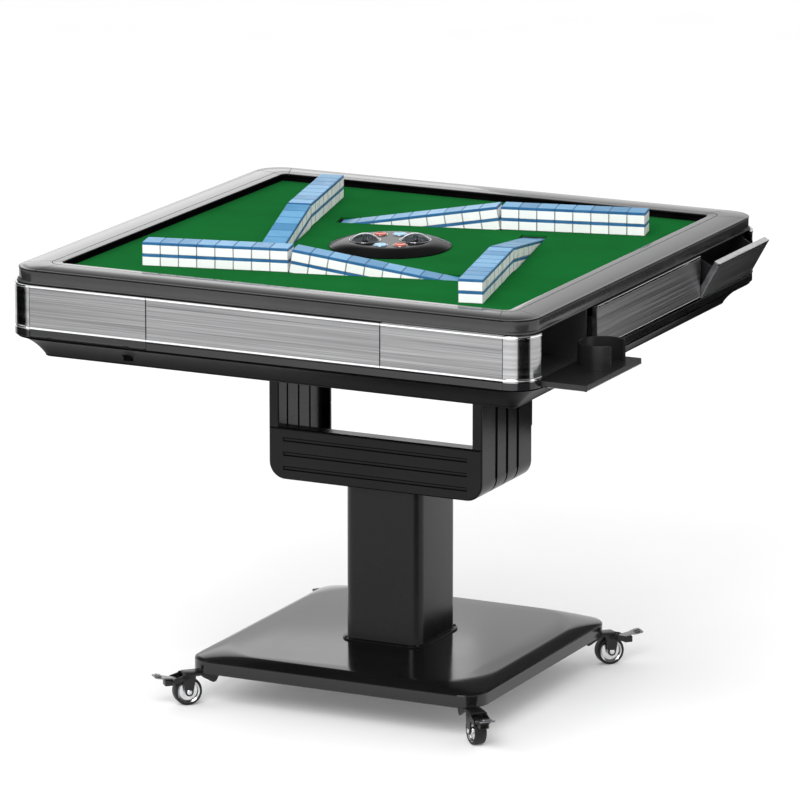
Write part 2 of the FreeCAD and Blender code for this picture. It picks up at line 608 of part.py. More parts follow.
def rim():
    top = f"{rim_level} + rim_height"
    ring = cut(slab(rim_side, "rim_radius", (rim_level, top)),
               slab(rim_inner_side, "rim_inner_radius", (ceiling_level, f"{top} + overrun")))

    def top_edge(edge, inner):
        level = measure(top)
        limits = edge.BoundBox
        reach = max(abs(limits.XMax), abs(limits.YMax), abs(limits.XMin), abs(limits.YMin))
        is_inner = reach < measure(f"{rim_groove_side} / 2")
        return limits.ZMin > level - measure("rim_groove_depth") and is_inner == inner

    ring = rounded(ring, "rim_outer_round", lambda edge: top_edge(edge, False))
    ring = rounded(ring, "rim_inner_round", lambda edge: top_edge(edge, True))
    groove = cut(square(rim_groove_side, (f"{top} - rim_groove_depth", f"{top} + overrun")),
                 square(f"{rim_groove_side} - 2 * rim_groove_width", (rim_level, f"{top} + 2 * overrun")))
    ring = cut(ring, groove)
    near = measure(f"{rim_inner_side} / 2 - rim_seam_lead")
    seam = measure(f"{rim_side} / 2 - rim_corner_length")
    far = measure(f"{rim_side} / 2 + overrun")
    outline = [Vector(near, -near), Vector(seam, -far), Vector(far, -far), Vector(far, -seam)]
    wedge = Part.Face(Part.makePolygon(outline + outline[:1]))
    wedge = wedge.extrude(Vector(0, 0, measure(f"{top} + overrun")))
    wedges = []
    for turn in sides.values():
        corner = feature(wedge.copy())
        corner.Placement = Placement(Vector(), Rotation(up, turn))
        wedges.append(corner)
    node("rim_corners", common(ring, group(*wedges)), z=table_level)
    node("rim_rails", cut(ring, *wedges), z=table_level)


# Board and felt with the slots of the four ramps and the hole of the console
bend = "-wall_start_offset + flat_stacks * tile_spacing"
wall_middle = "-wall_outer_offset + tile_length / 2"


def on_wall(side, height=0):
    centre = Vector(measure("walls_right"), -measure("walls_forward"), height)
    return Placement(centre, Rotation(up, sides[side] + measure("wall_turn")))


def playing_surface():
    slot = box((f"{bend} - slot_lead", f"{bend} - slot_lead + slot_length"),
               (f"{wall_middle} - slot_width / 2", f"{wall_middle} + slot_width / 2"),
               ("0", f"{top_level} + overrun"))
    reach = "(ramp_width / 2 + ramp_pin_reach + pin_clearance)"
    pins = rod("ramp_pin_radius + pin_clearance", f"2 * {reach}", along_y,
               bend, f"{wall_middle} - {reach}", f"{top_level} - ramp_axis_depth")
    opening = fuse(slot, pins)
    doc.recompute()
    openings = [rod("console_hole", f"{top_level} + overrun")]
    for side in sides:
        copy = feature(opening.Shape.copy())
        copy.Placement = on_wall(side)
        openings.append(copy)
    holes = fuse(*openings)
    node("play_board", cut(square(board_side, (board_level, felt_level)), holes), z=table_level)
    node("felt", cut(square(board_side, (felt_level, top_level)), holes), z=table_level)


# Drawers: a front panel and a box behind it, on two runners
def drawers():
    half_front = "drawer_width / 2 - panel_gap"
    front = box((f"-({half_front})", half_front), (panel_out, panel_in),
                (f"{fascia_level} + panel_gap", panel_top))
    front = rounded(front, "panel_round", lambda edge: True)
    floor = f"{band_level} + runner_height + runner_gap"
    tray = box(("-drawer_box_width / 2", "drawer_box_width / 2"), (panel_in, f"{panel_in} + drawer_depth"),
               (floor, f"{floor} + drawer_box_height"))
    hollow = box(("-drawer_box_width / 2 + drawer_wall", "drawer_box_width / 2 - drawer_wall"),
                 (f"{panel_in} + drawer_wall", f"{panel_in} + drawer_depth - drawer_wall"),
                 (f"{floor} + drawer_wall", f"{floor} + drawer_box_height + overrun"))
    drawer = group(front, cut(tray, hollow))
    doc.recompute()
    for side in sides:
        placed(f"drawer_{side}", drawer, on_side(side))


# Flaps: a panel that turns on two pins, its lower front edge rounded about their axis
def flap_panel(sign):
    middle = f"{sign}({flap_middle})"
    foot, hinge_z = flap_foot[sign], hinge_levels[sign]
    across = (f"{middle} - {flap_width} / 2 + panel_gap", f"{middle} + {flap_width} / 2 - panel_gap")
    front, low = measure(f"{hinge_y} + panel_gap"), measure(f"{hinge_z} + panel_gap")

    def lower_front(edge):
        return runs(edge, Vector(1, 0, 0)) and edge.BoundBox.YMax < front and edge.BoundBox.ZMax < low

    panel = rounded(box(across, (panel_out, panel_in), (foot, panel_top)), "hinge_inset", lower_front)
    panel = rounded(panel, "panel_round", lambda edge: not lower_front(edge))
    notches, pins = [], []
    for spot in lug_places(sign):
        start = f"{spot} - notch_width / 2"
        notches.append(rod("notch_radius", "notch_width", along_x, start, hinge_y, hinge_z))
        notches.append(box((start, f"{start} + notch_width"), (hinge_y, f"{panel_in} + overrun"),
                           (f"{hinge_z} - notch_radius", f"{hinge_z} + notch_radius")))
        notches.append(box((start, f"{start} + notch_width"),
                           (f"{hinge_y} - notch_radius", f"{panel_in} + overrun"),
                           (f"{foot} - overrun", hinge_z)))
        pins.append(rod("hinge_pin_radius", "2 * notch_width", along_x,
                        f"{spot} - notch_width", hinge_y, hinge_z))
    return cut(panel, *notches), pins, middle


def open_by(angle, sign):
    pivot = Vector(0, measure(hinge_y), measure(hinge_levels[sign]))
    return Placement(Vector(), Rotation(Vector(1, 0, 0), angle), pivot)


def cup_flaps():
    panel, pins, middle = flap_panel(cup_sign)
    middle = f"{middle} + ring_shift"
    level = f"{hinge_levels[cup_sign]} + ring_rise"
    ring = rod("ring_radius + ring_wall", "ring_height", along_y, middle, panel_in, level)
    bore = rod("ring_radius", "ring_height + overrun", along_y, middle, panel_in, level)
    slot = box((f"{middle} - ring_slot / 2", f"{middle} + ring_slot / 2"),
               (panel_in, f"{panel_in} + ring_height + overrun"), (level, f"{level} + 2 * ring_radius"))
    flap = fuse(panel, *pins, cut(ring, bore, slot))
    doc.recompute()
    for side in sides:
        angle = measure("cup_open") if side == "right" else 0
        placed(f"cup_flap_{side}", flap, on_side(side) * open_by(angle, cup_sign))


def bin_flaps():
    panel, pins, middle = flap_panel(bin_sign)
    hinge_z = hinge_levels[bin_sign]
    inner, wall = measure(panel_in), measure("bin_wall")
    depth, height = measure("bin_depth"), measure("bin_height")
    foot = measure(f"{hinge_z} + bin_foot")
    top = measure(hinge_z) + height
    width = measure(f"{flap_width} - 2 * bin_inset")
    start = measure(middle) - width / 2

    def bin_block(margin, rise, left, span):
        corners = [(inner, foot + margin), (inner + depth - margin, foot + margin),
                   (inner + depth - margin, top + rise), (inner, top + rise)]
        outline = Part.makePolygon([Vector(left, y, z) for y, z in corners + corners[:1]])
        return Part.Face(outline).extrude(Vector(span, 0, 0))

    inside = bin_block(wall, wall, start + wall, width - 2 * wall)
    shell = bin_block(0, 0, start, width).cut(inside)
    flap = fuse(panel, *pins, feature(shell))
    doc.recompute()
    for side in sides:
        angle = measure("bin_open") if side == "right" else 0
        placed(f"bin_flap_{side}", flap, on_side(side) * open_by(angle, bin_sign))


# Tile walls: stacks of two tiles, those past the bend on a ramp that turns about the bend
def tile_stacks(first, number):
    length, width, thick = measure("tile_length"), measure("tile_width"), measure("tile_thickness")
    pitch, start, low = measure("tile_spacing"), measure("-wall_start_offset"), measure("-wall_outer_offset")
    level = measure(top_level)
    tiles = []
    for stack in range(first, first + number):
        for layer in range(counts["layers"]):
            corner = Vector(start + stack * pitch + (pitch - width) / 2, low, level + layer * thick)
            tiles.append(Part.makeBox(width, length, thick, corner))
    return feature(Part.makeCompound(tiles))


def tiles_and_ramps():
    flat = tile_stacks(0, counts["flat_stacks"])
    walls = []
    for side in sides:
        wall = feature(flat.Shape.copy())
        wall.Placement = on_wall(side)
        walls.append(wall)
    node("tiles_on_felt", group(*walls), z=table_level)

    ramp_tiles = tile_stacks(counts["flat_stacks"], counts["ramp_stacks"])
    axis_level = f"{top_level} - ramp_axis_depth"
    across = (f"{wall_middle} - ramp_width / 2", f"{wall_middle} + ramp_width / 2")
    plate = box((f"{bend} + ramp_start", f"{bend} + ramp_length"), across,
                (f"{top_level} - ramp_thickness", top_level))
    barrel = rod("ramp_barrel_radius", "ramp_width", along_y, bend, across[0], axis_level)
    pin = rod("ramp_pin_radius", "ramp_width + 2 * ramp_pin_reach", along_y, bend,
              f"{across[0]} - ramp_pin_reach", axis_level)
    ramp = fuse(plate, barrel, pin)
    doc.recompute()
    pivot = Vector(measure(bend), 0, measure(axis_level))
    drop = Placement(Vector(), Rotation(Vector(0, 1, 0), measure("ramp_drop")), pivot)
    for side in sides:
        placed(f"ramp_plate_{side}", ramp, on_wall(side, table_height) * drop)
        placed(f"ramp_tiles_{side}", ramp_tiles, on_wall(side, table_height) * drop)


# Console: a low dome on a stem, four push buttons, and two dice, each below a clear cover
def console():
    low = measure(f"{top_level} + console_gap")
    radius, edge = measure("console_radius"), measure("console_edge")
    flat, crown, height = measure("console_flat_radius"), measure("console_crown"), measure("console_height")
    stem, length = measure("console_stem_radius"), measure("console_stem_length")

    def at(distance, level):
        return Vector(distance, 0, low + level)

    shoulder = (radius + flat) / 2
    curve = Part.Arc(at(radius, edge), at(shoulder, crown), at(flat, height)).toShape()
    corners = [at(flat, height), at(0, height), at(0, -length), at(stem, -length), at(stem, 0), at(radius, 0),
               at(radius, edge)]
    lines = [Part.LineSegment(*ends).toShape() for ends in zip(corners, corners[1:])]
    body = feature(Part.Face(Part.Wire([curve] + lines)).revolve(Vector(), up, full_turn))
    deck = f"{top_level} + console_gap + console_height"
    pockets, buttons = [], []
    turn, spread = measure("console_turn"), measure("button_spread")
    orbit = measure("button_orbit")
    names = ("dice_back", "lift_back", "dice_front", "lift_front")
    behind, before = turn + quarter_turn, turn - quarter_turn
    bearings = (behind + spread, behind - spread, before + spread, before - spread)
    for name, bearing in zip(names, bearings):
        spot = Rotation(up, bearing).multVec(Vector(orbit, 0, 0))
        pocket = rod("button_radius + pocket_clearance", "pocket_depth + overrun", z=f"{deck} - pocket_depth")
        button = rod("button_radius", "button_height", z=f"{deck} + button_proud - button_height")
        doc.recompute()
        hole = feature(pocket.Shape.copy())
        hole.Placement = Placement(spot, Rotation()) * pocket.Placement
        pockets.append(hole)
        raised = Placement(spot + Vector(0, 0, table_height), Rotation())
        placed(f"console_button_{name}", button, raised * button.Placement)
    node("console_body", cut(body, *pockets), z=table_level)
    level = measure(deck)
    base, rise, wall = measure("dome_radius"), measure("dome_rise"), measure("dome_wall")

    def cap(reach, top):
        ball = (reach * reach + top * top) / (2 * top)
        sphere = Part.makeSphere(ball, Vector(0, 0, level + top - ball))
        return sphere.common(Part.makeCylinder(reach, top, Vector(0, 0, level)))

    dome = cap(base, rise).cut(cap(base - wall, rise - wall))
    die = box(("-dice_side / 2", "dice_side / 2"), ("-dice_side / 2", "dice_side / 2"),
              (deck, f"{deck} + dice_side"))
    doc.recompute()
    domes, dice = [], []
    for bearing in (turn, turn + 2 * quarter_turn):
        outward = Rotation(up, bearing)
        spot = Placement(outward.multVec(Vector(measure("dome_orbit"), 0, 0)), outward)
        for pieces, shape in ((domes, dome), (dice, die.Shape)):
            copy = feature(shape.copy())
            copy.Placement = spot * copy.Placement
            pieces.append(copy)
    node("dice_dome", group(*domes), z=table_level)
    node("dice", group(*dice), z=table_level)


# Drum that shuffles the tiles: it turns about the hollow post of the console, above its motor
def tile_drum():
    post = cut(rod("post_radius", "post_height", z="hull_floor"),
               rod("console_stem_radius + pin_clearance", "post_height + overrun", z="hull_floor"))
    node("centre_post", post, z=table_level)
    motor = cut(rod("motor_radius", "motor_height", z="hull_floor"),
                rod("post_radius + press_clearance", "motor_height + 2 * overrun", z="hull_floor - overrun"))
    node("drive_motor", motor, z=table_level)
    start = "hull_floor + motor_height + drum_gap"
    hub = rod("drum_hub_radius", "drum_hub_height", z=start)
    plate = rod("drum_radius", "drum_thickness", z=f"{start} + drum_hub_height")
    bore = rod("post_radius + drum_gap", "drum_hub_height + drum_thickness + 2 * overrun",
               z=f"{start} - overrun")
    node("shuffle_drum", cut(fuse(hub, plate), bore), z=table_level)


def main():
    base_cover()
    base_underframe()
    column()
    yoke_box()
    yoke_arms()
    fold_hinge()
    casters()
    hull_tub()
    compartment_frame()
    lower_band()
    band_corners()
    skirt_band()
    rim()
    playing_surface()
    drawers()
    cup_flaps()
    bin_flaps()
    tiles_and_ramps()
    console()
    tile_drum()
    doc.recompute()

    failed = [item.Label for item in doc.Objects if {"Invalid", "Error"} & set(item.State)]
    for label, item in nodes.items():
        if item.Shape.isNull() or not item.Shape.isValid():
            failed.append(label)
    if failed:
        raise RuntimeError("failed: " + ", ".join(failed))
    os.makedirs("parts", exist_ok=True)
    for label, item in nodes.items():
        item.Shape.exportStep(f"parts/{label}.step")
        print(label, len(item.Shape.Solids), round(item.Shape.Volume))
    print(len(nodes), "nodes")


main()
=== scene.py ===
import json
import math

import bmesh
import bpy
from mathutils import Matrix, Vector, geometry


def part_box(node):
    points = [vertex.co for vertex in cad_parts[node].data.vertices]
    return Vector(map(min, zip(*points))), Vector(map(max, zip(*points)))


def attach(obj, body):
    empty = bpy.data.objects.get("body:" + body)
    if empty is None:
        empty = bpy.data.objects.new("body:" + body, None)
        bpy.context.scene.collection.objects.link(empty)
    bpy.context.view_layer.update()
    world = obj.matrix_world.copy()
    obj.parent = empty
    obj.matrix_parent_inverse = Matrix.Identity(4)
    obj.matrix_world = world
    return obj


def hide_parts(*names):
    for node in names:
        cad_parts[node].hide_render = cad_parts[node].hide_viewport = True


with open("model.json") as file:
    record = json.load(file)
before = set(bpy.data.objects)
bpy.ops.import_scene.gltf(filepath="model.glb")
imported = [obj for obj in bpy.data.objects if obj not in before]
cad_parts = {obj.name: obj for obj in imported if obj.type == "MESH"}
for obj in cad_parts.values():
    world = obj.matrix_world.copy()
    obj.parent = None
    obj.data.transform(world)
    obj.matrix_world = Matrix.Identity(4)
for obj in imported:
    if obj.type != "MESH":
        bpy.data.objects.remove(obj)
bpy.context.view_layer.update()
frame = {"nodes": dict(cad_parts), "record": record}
nodes, record = frame["nodes"], frame["record"]
scene = bpy.context.scene
quarters = {"front": 0.0, "right": 90.0, "back": 180.0, "left": 270.0}
paints = {}
move = Matrix.Translation
creases = {"plain": 40.0, "shell": 32.0, "bar": 50.0}  # sharper edges than these stay hard
print("frame loaded:", len(nodes), "nodes")


# small helpers for shader and geometry trees
def fill(node, values):
    for key, value in values.items():
        node.inputs[key].default_value = value
    return node


def add(tree, kind, values=None, **options):
    node = tree.nodes.new(kind)
    for key, value in options.items():
        setattr(node, key, value)
    return fill(node, values or {})


def wire(tree, *runs):
    # a run goes from a source to a target, and a node is followed by the name of its socket
    for run in runs:
        rest, ends = list(run), []
        for way in ("outputs", "inputs"):
            end = rest.pop(0)
            ends.append(getattr(end, way)[rest.pop(0)] if isinstance(end, bpy.types.Node) else end)
        tree.links.new(*ends)


def newFinish(name):
    paints[name] = bpy.data.materials.new(name)
    paints[name].use_nodes = True
    tree = paints[name].node_tree
    return tree, tree.nodes["Principled BSDF"]


def placeOf(tree, kind="Object"):
    return add(tree, "ShaderNodeTexCoord").outputs[kind]


def noise(tree, place, scale, detail, **more):
    made = add(tree, "ShaderNodeTexNoise", {"Scale": scale, "Detail": detail, **more})
    wire(tree, (place, made, "Vector"))
    return made.outputs["Fac"]


def blended(tree, first, second, share):
    mix = add(tree, "ShaderNodeMix", {"Factor": share})
    wire(tree, (first, mix, "A"), (second, mix, "B"))
    return mix.outputs["Result"]


def toneRamp(tree, source, dark, light, spread=(0.35, 0.65)):
    # a tone of two numbers is a grey and its blue
    ramp = add(tree, "ShaderNodeValToRGB")
    for stop, tone, place in zip(ramp.color_ramp.elements, (dark, light), spread):
        stop.color = (tone[0], *tone[-2:], 1.0)
        stop.position = place
    wire(tree, (source, ramp, "Fac"))
    return ramp.outputs["Color"]


def spreadOf(tree, source, low, high, reach=(0.3, 0.7), **options):
    spread = add(tree, "ShaderNodeMapRange",
                 {"From Min": reach[0], "From Max": reach[1], "To Min": low, "To Max": high}, **options)
    wire(tree, (source, spread, "Value"))
    return spread.outputs["Result"]


def bumpFrom(tree, source, strength, depth):
    bump = add(tree, "ShaderNodeBump", {"Strength": strength, "Distance": depth})
    wire(tree, (source, bump, "Height"))
    return bump


def dress(tree, surface, colour, rough, values, bump=None):
    wire(tree, (colour, surface, "Base Color"), (rough, surface, "Roughness"))
    if bump is not None:
        wire(tree, (bump, "Normal", surface, "Normal"))
    fill(surface, values)


# paint, plastic and plain metal: dark and light tone, blotch, grain and its depth, roughness and soft edge,
# then what is unlike the rest
finishes = {
    "black_paint": ((0.0045, 0.0048), (0.0075, 0.008), 7, 900, 3e-5, (0.16, 0.24), 0.0008, {"gloss": 0.2}),
    "yokePaint": ((0.0045, 0.0048), (0.0075, 0.008), 7, 900, 3e-5, (0.18, 0.26), 0.0005, {"gloss": 0.15}),
    "baseGloss": ((0.0045, 0.0048), (0.007, 0.0075), 5, 900, 2e-5, (0.1, 0.15), 0.0008, {"gloss": 0.45}),
    "frame_steel": ((0.05, 0.055), (0.08, 0.085), 14, 600, 1e-4, (0.45, 0.6), 0.001, {"worn": 0.5}),
    "pin_steel": ((0.42, 0.44), (0.58, 0.6), 60, 1500, 3e-5, (0.2, 0.34), 0.0006, {"metal": 1.0}),
    "caster_black": ((0.005, 0.005), (0.01, 0.01), 40, 1400, 3e-5, (0.25, 0.36), 0.001,
                     {"gloss": 0.35, "worn": 0.15}),
    "wheel_rubber": ((0.006, 0.006), (0.012, 0.012), 90, 1800, 2e-4, (0.45, 0.6), 0.001,
                     {"gloss": 0.3, "worn": 0.2}),
    "pedal_steel": ((0.2, 0.21), (0.32, 0.33), 70, 1600, 3e-5, (0.22, 0.34), 0.0006, {"metal": 1.0}),
    "hull_black": ((0.003, 0.0032), (0.0052, 0.0055), 6, 1300, 6e-5, (0.4, 0.5), 0.0015, {"gloss": 0.06}),
    "bay_black": ((0.04, 0.041), (0.065, 0.066), 10, 1000, 1e-4, (0.4, 0.52), 0.001),
    "band_black": ((0.006, 0.0065), (0.009, 0.01), 9, 500, 2e-5, (0.1, 0.17), 0.0012),
    "skirt_grey": ((0.019, 0.0197), (0.027, 0.0277), 5, 1200, 3e-5, (0.17, 0.25), 0.0006),
    "rim_grey": ((0.016, 0.0165), (0.021, 0.0215), 5, 420, 1e-5, (0.08, 0.13), 0.0005),
    "drawer_black": ((0.008, 0.008), (0.013, 0.013), 9, 1100, 8e-5, (0.4, 0.52), 0.001,
                     {"gloss": 0.35, "worn": 0.15}),
    "flap_black": ((0.009, 0.0095), (0.014, 0.0147), 12, 1200, 5e-5, (0.3, 0.4), 0.001,
                   {"gloss": 0.35, "worn": 0.15}),
    "ramp_grey": ((0.018, 0.018), (0.03, 0.03), 20, 900, 1e-4, (0.5, 0.62), 0.0008),
    "console_black": ((0.004, 0.0043), (0.006, 0.0064), 16, 500, 1e-5, (0.08, 0.14), 0.0006, {"gloss": 0.04}),
    "dice_white": ((0.78, 0.76), (0.88, 0.86), 160, 2500, 1e-5, (0.18, 0.26), 0.0006),
    "button_red": ((0.42, 0.045, 0.02), (0.56, 0.085, 0.035), 110, 2500, 1e-5, (0.18, 0.28), 0.0004),
    "button_blue": ((0.22, 0.44, 0.62), (0.32, 0.54, 0.72), 110, 2500, 1e-5, (0.18, 0.28), 0.0004),
    "drum_grey": ((0.1, 0.1), (0.17, 0.17), 12, 900, 1e-4, (0.5, 0.62), 0.001),
    "trimChrome": ((0.8, 0.81), (0.88, 0.89), 25, 900, 1e-5, (0.09, 0.15), 0.0003, {"metal": 1.0}),
    "edgeAluminium": ((0.2, 0.21), (0.29, 0.3), 60, 1800, 4e-5, (0.28, 0.4), 0.0006, {"metal": 1.0}),
    "edgePale": ((0.4, 0.405), (0.5, 0.505), 60, 1800, 3e-5, (0.32, 0.42), 0.0006, {"gloss": 0.4}),
    "hubChrome": ((0.66, 0.67), (0.8, 0.81), 90, 1500, 2e-5, (0.14, 0.22), 0.0004, {"metal": 1.0}),
    "tileBody": ((0.9, 0.9), (0.95, 0.95), 30, 1800, 2e-5, (0.24, 0.34), 0.0006,
                 {"gloss": 0.35, "ownTone": "tileTone"}),
    # painted shade: the white body's chamfers are grey, as the shadowed gaps between tiles
    "tileBodyShadeLine": ((0.3, 0.31, 0.32), (0.38, 0.39, 0.4), 30, 1800, 2e-5, (0.3, 0.4), 0.0003,
                     {"gloss": 0.2}),
    "tileBack": ((0.06, 0.23, 0.43), (0.125, 0.345, 0.57), 30, 1800, 2e-5, (0.28, 0.38), 0.0006,
                 {"gloss": 0.2, "ownTone": "tileTone"}),
    # painted shade: the sides of the blue back are a darker blue than its top, as in shade
    "tileBackShadedSide": ((0.022, 0.115, 0.26), (0.04, 0.155, 0.33), 30, 1800, 2e-5, (0.28, 0.38), 0.0003,
                     {"gloss": 0.2}),
    "pipInk": ((0.01, 0.012), (0.02, 0.024), 300, 3000, 1e-5, (0.3, 0.4), 0.0001),
    # matt black for gaps, trim ends and the power switch, and painted shade inside the rim, below the lower
    # band and along the yoke grooves
    "gapAndShadeBlack": ((0.002, 0.002), (0.004, 0.004), 40, 900, 2e-5, (0.8, 0.95), 0.0003, {"gloss": 0.0}),
    "screwSteel": ((0.3, 0.31), (0.42, 0.43), 200, 2500, 2e-5, (0.25, 0.38), 0.0003, {"metal": 1.0}),
}
coat = {"cloudDetail": 4.0, "cloudRough": 0.6, "grainDetail": 2.0, "ownShare": 0.6, "bump": 0.6,
        "edgeSamples": 4, "rubbed": (0.99, 0.86), "rubbedTone": (0.09, 0.09, 0.09, 1.0)}


def grainedFinish(name, dark, light, blotch, grain, depth, rough, edge,
                  gloss=0.5, metal=0.0, worn=None, ownTone=None):
    tree, surface = newFinish(name)
    place = placeOf(tree)
    cloud = noise(tree, place, blotch, coat["cloudDetail"], Roughness=coat["cloudRough"])
    mottle = cloud
    if ownTone:
        own = add(tree, "ShaderNodeAttribute", attribute_name=ownTone)
        mottle = blended(tree, cloud, own.outputs["Fac"], coat["ownShare"])
    colour = toneRamp(tree, mottle, dark, light)
    bump = bumpFrom(tree, noise(tree, place, grain, coat["grainDetail"]), coat["bump"], depth)
    bevel = add(tree, "ShaderNodeBevel", {"Radius": edge}, samples=coat["edgeSamples"])
    wire(tree, (bevel, "Normal", bump, "Normal"))
    if worn:
        # where the softened normal leaves the true one, the coat is rubbed paler; 6, 7 and 2 are the
        # colour sockets of a mix
        flat = add(tree, "ShaderNodeNewGeometry")
        match = add(tree, "ShaderNodeVectorMath", operation="DOT_PRODUCT")
        rub = spreadOf(tree, match.outputs["Value"], 0.0, worn, coat["rubbed"])
        share = add(tree, "ShaderNodeMath", operation="MULTIPLY")
        pale = add(tree, "ShaderNodeMix", {7: coat["rubbedTone"]}, data_type="RGBA")
        wire(tree, (bevel, "Normal", match, 0), (flat, "Normal", match, 1), (rub, share, 0),
             (cloud, share, 1), (share, "Value", pale, 0), (colour, pale, 6))
        colour = pale.outputs[2]
    dress(tree, surface, colour, spreadOf(tree, cloud, *rough),
          {"Metallic": metal, "Specular IOR Level": gloss}, bump)


# brushed metal: long streaks, along the map of a face or around a corner
brushed = {
    "brushedFace": {"dark": (0.12, 0.122), "light": (0.4, 0.405), "map": "UV", "fine": (1.6, 380.0, 1.0),
                    "broad": (0.9, 150.0, 1.0), "rough": (0.3, 0.42), "depth": 0.00012},
    "corner_chrome": {"dark": (0.22, 0.223), "light": (0.48, 0.485), "map": "Object",
                      "fine": (4.0, 4.0, 260.0), "broad": (2.0, 2.0, 70.0), "rough": (0.12, 0.2),
                      "depth": 0.00003},
}
streak = {"detail": 4.0, "rough": 0.65, "broadShare": 0.35, "tones": (0.32, 0.6), "bump": 0.5}


def brushedFinish(name, look):
    tree, surface = newFinish(name)
    place = placeOf(tree, look["map"])
    streaks = []
    for size in (look["fine"], look["broad"]):
        stretch = add(tree, "ShaderNodeMapping", {"Scale": size})
        wire(tree, (place, stretch, "Vector"))
        along = stretch.outputs["Vector"]
        streaks.append(noise(tree, along, 1.0, streak["detail"], Roughness=streak["rough"]))
    both = blended(tree, *streaks, streak["broadShare"])
    dress(tree, surface, toneRamp(tree, both, look["dark"], look["light"], streak["tones"]),
          spreadOf(tree, streaks[0], *look["rough"]), {"Metallic": 1.0},
          bumpFrom(tree, streaks[0], streak["bump"], look["depth"]))


# felt: short fibres over a cloudy ground
felt = {"dark": (0.002, 0.088, 0.0145), "light": (0.0035, 0.136, 0.0245), "tones": (0.3, 0.7),
        "fibre": (1500.0, 3.0), "twist": 1.2, "cloud": (9.0, 5.0), "cloudShare": 0.4, "bump": (0.5, 0.0007),
        "rough": (0.85, 1.0), "sheen": 0.015}


def feltFinish(name, look):
    tree, surface = newFinish(name)
    place = placeOf(tree)
    fibre = noise(tree, place, *look["fibre"], Distortion=look["twist"])
    both = blended(tree, fibre, noise(tree, place, *look["cloud"]), look["cloudShare"])
    dress(tree, surface, toneRamp(tree, both, look["dark"], look["light"], look["tones"]),
          spreadOf(tree, fibre, *look["rough"]), {"Sheen Weight": look["sheen"], "Specular IOR Level": 0.0},
          bumpFrom(tree, fibre, *look["bump"]))


# playing board: plain veneer with rings that run across it
board = {"dark": (0.012, 0.008, 0.005), "light": (0.03, 0.021, 0.013), "tones": (0.2, 0.8), "rings": 14.0,
         "waver": 6.0, "detail": 4.0, "bump": (0.2, 0.0002), "rough": (0.45, 0.6)}


def boardFinish(name, look):
    tree, surface = newFinish(name)
    wave = add(tree, "ShaderNodeTexWave",
               {"Scale": look["rings"], "Distortion": look["waver"], "Detail": look["detail"]})
    wire(tree, (placeOf(tree), wave, "Vector"))
    rings = wave.outputs["Fac"]
    dress(tree, surface, toneRamp(tree, rings, look["dark"], look["light"], look["tones"]),
          spreadOf(tree, rings, *look["rough"]), {}, bumpFrom(tree, rings, *look["bump"]))


# clear domes: faintly uneven moulding
clear = {"tint": (0.4, 0.43, 0.45), "paler": (0.5, 0.53, 0.55), "waves": (45.0, 2.0), "rough": (0.01, 0.05),
         "index": 1.46}


def clearFinish(name, look):
    tree, surface = newFinish(name)
    waves = noise(tree, placeOf(tree), *look["waves"])
    dress(tree, surface, toneRamp(tree, waves, look["tint"], look["paler"]),
          spreadOf(tree, waves, *look["rough"]), {"Transmission Weight": 1.0, "IOR": look["index"]})


for name, look in finishes.items():
    grainedFinish(name, *look[:7], **dict(*look[7:]))
for name, look in brushed.items():
    brushedFinish(name, look)
feltFinish("felt_green", felt)
boardFinish("board_wood", board)
clearFinish("dome_clear", clear)
paints["tile_white"] = paints["tileBody"]
for part in record["subparts"]:
    mesh = nodes[part["node"]].data
    mesh.materials.clear()
    mesh.materials.append(paints[part["material_slot"]])
for label in ("yoke_cross_box", "yoke_arms"):
    nodes[label].data.materials[0] = paints["yokePaint"]
nodes["power_switch"].data.materials[0] = paints["gapAndShadeBlack"]
print("finishes made:", len(paints))


# small helpers for pieces
def spin(angle, axis="Z"):
    return Matrix.Rotation(math.radians(angle), 4, axis)


def fan(start, sweep, steps):
    return [math.radians(start + sweep * step / steps) for step in range(steps + 1)]


def arcDots(centre, radius, turn, steps):
    return [centre + Vector((math.cos(angle), math.sin(angle), 0.0)) * radius
            for angle in fan(turn - 90.0, 90.0, steps)]


def newPiece(name, mesh, body, replaced=()):
    piece = bpy.data.objects.new(name, mesh)
    scene.collection.objects.link(piece)
    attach(piece, body)
    if replaced:
        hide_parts(*replaced)


def meshFrom(form, name, *looks):
    bmesh.ops.recalc_face_normals(form, faces=form.faces)
    mesh = bpy.data.meshes.new(name)
    form.to_mesh(mesh)
    form.free()
    for look in looks:
        mesh.materials.append(paints[look])
    return mesh


def smoothed(mesh, crease="plain"):
    mesh.shade_smooth()
    mesh.set_sharp_from_angle(angle=math.radians(creases[crease]))
    return mesh


def softBlock(form, low, high, soft, segments=2):
    size = [b - a for a, b in zip(low, high)]
    middle = [(a + b) / 2 for a, b in zip(low, high)]
    place = move(middle) @ Matrix.Diagonal((*size, 1.0))
    made = bmesh.ops.create_cube(form, size=1.0, matrix=place)
    edges = dict.fromkeys(edge for dot in made["verts"] for edge in dot.link_edges)
    bmesh.ops.bevel(form, geom=list(edges), offset=soft, segments=segments, profile=0.5, affect="EDGES")


def skinned(form, sections, closed=False):
    # rows of points, joined into a closed tube or into a shell with both ends filled
    rows = [[form.verts.new(dot) for dot in section] for section in sections]
    for first, second in zip(rows, rows[1:] + rows[:1] if closed else rows[1:]):
        for here in range(len(first)):
            form.faces.new((first[here - 1], first[here], second[here], second[here - 1]))
    if not closed:
        form.faces.new(rows[0])
        form.faces.new(rows[-1])


# geometry trees: named inputs, and a plain mesh at the end
def growTree(name, inputs):
    tree = bpy.data.node_groups.new(name, "GeometryNodeTree")
    for way in ("INPUT", "OUTPUT"):
        tree.interface.new_socket("Geometry", in_out=way, socket_type="NodeSocketGeometry")
    keys = {}
    for label, kind in inputs.items():
        socket = tree.interface.new_socket(label, in_out="INPUT", socket_type="NodeSocket" + kind)
        keys[label] = socket.identifier
    return tree, keys, add(tree, "NodeGroupInput"), add(tree, "NodeGroupOutput")


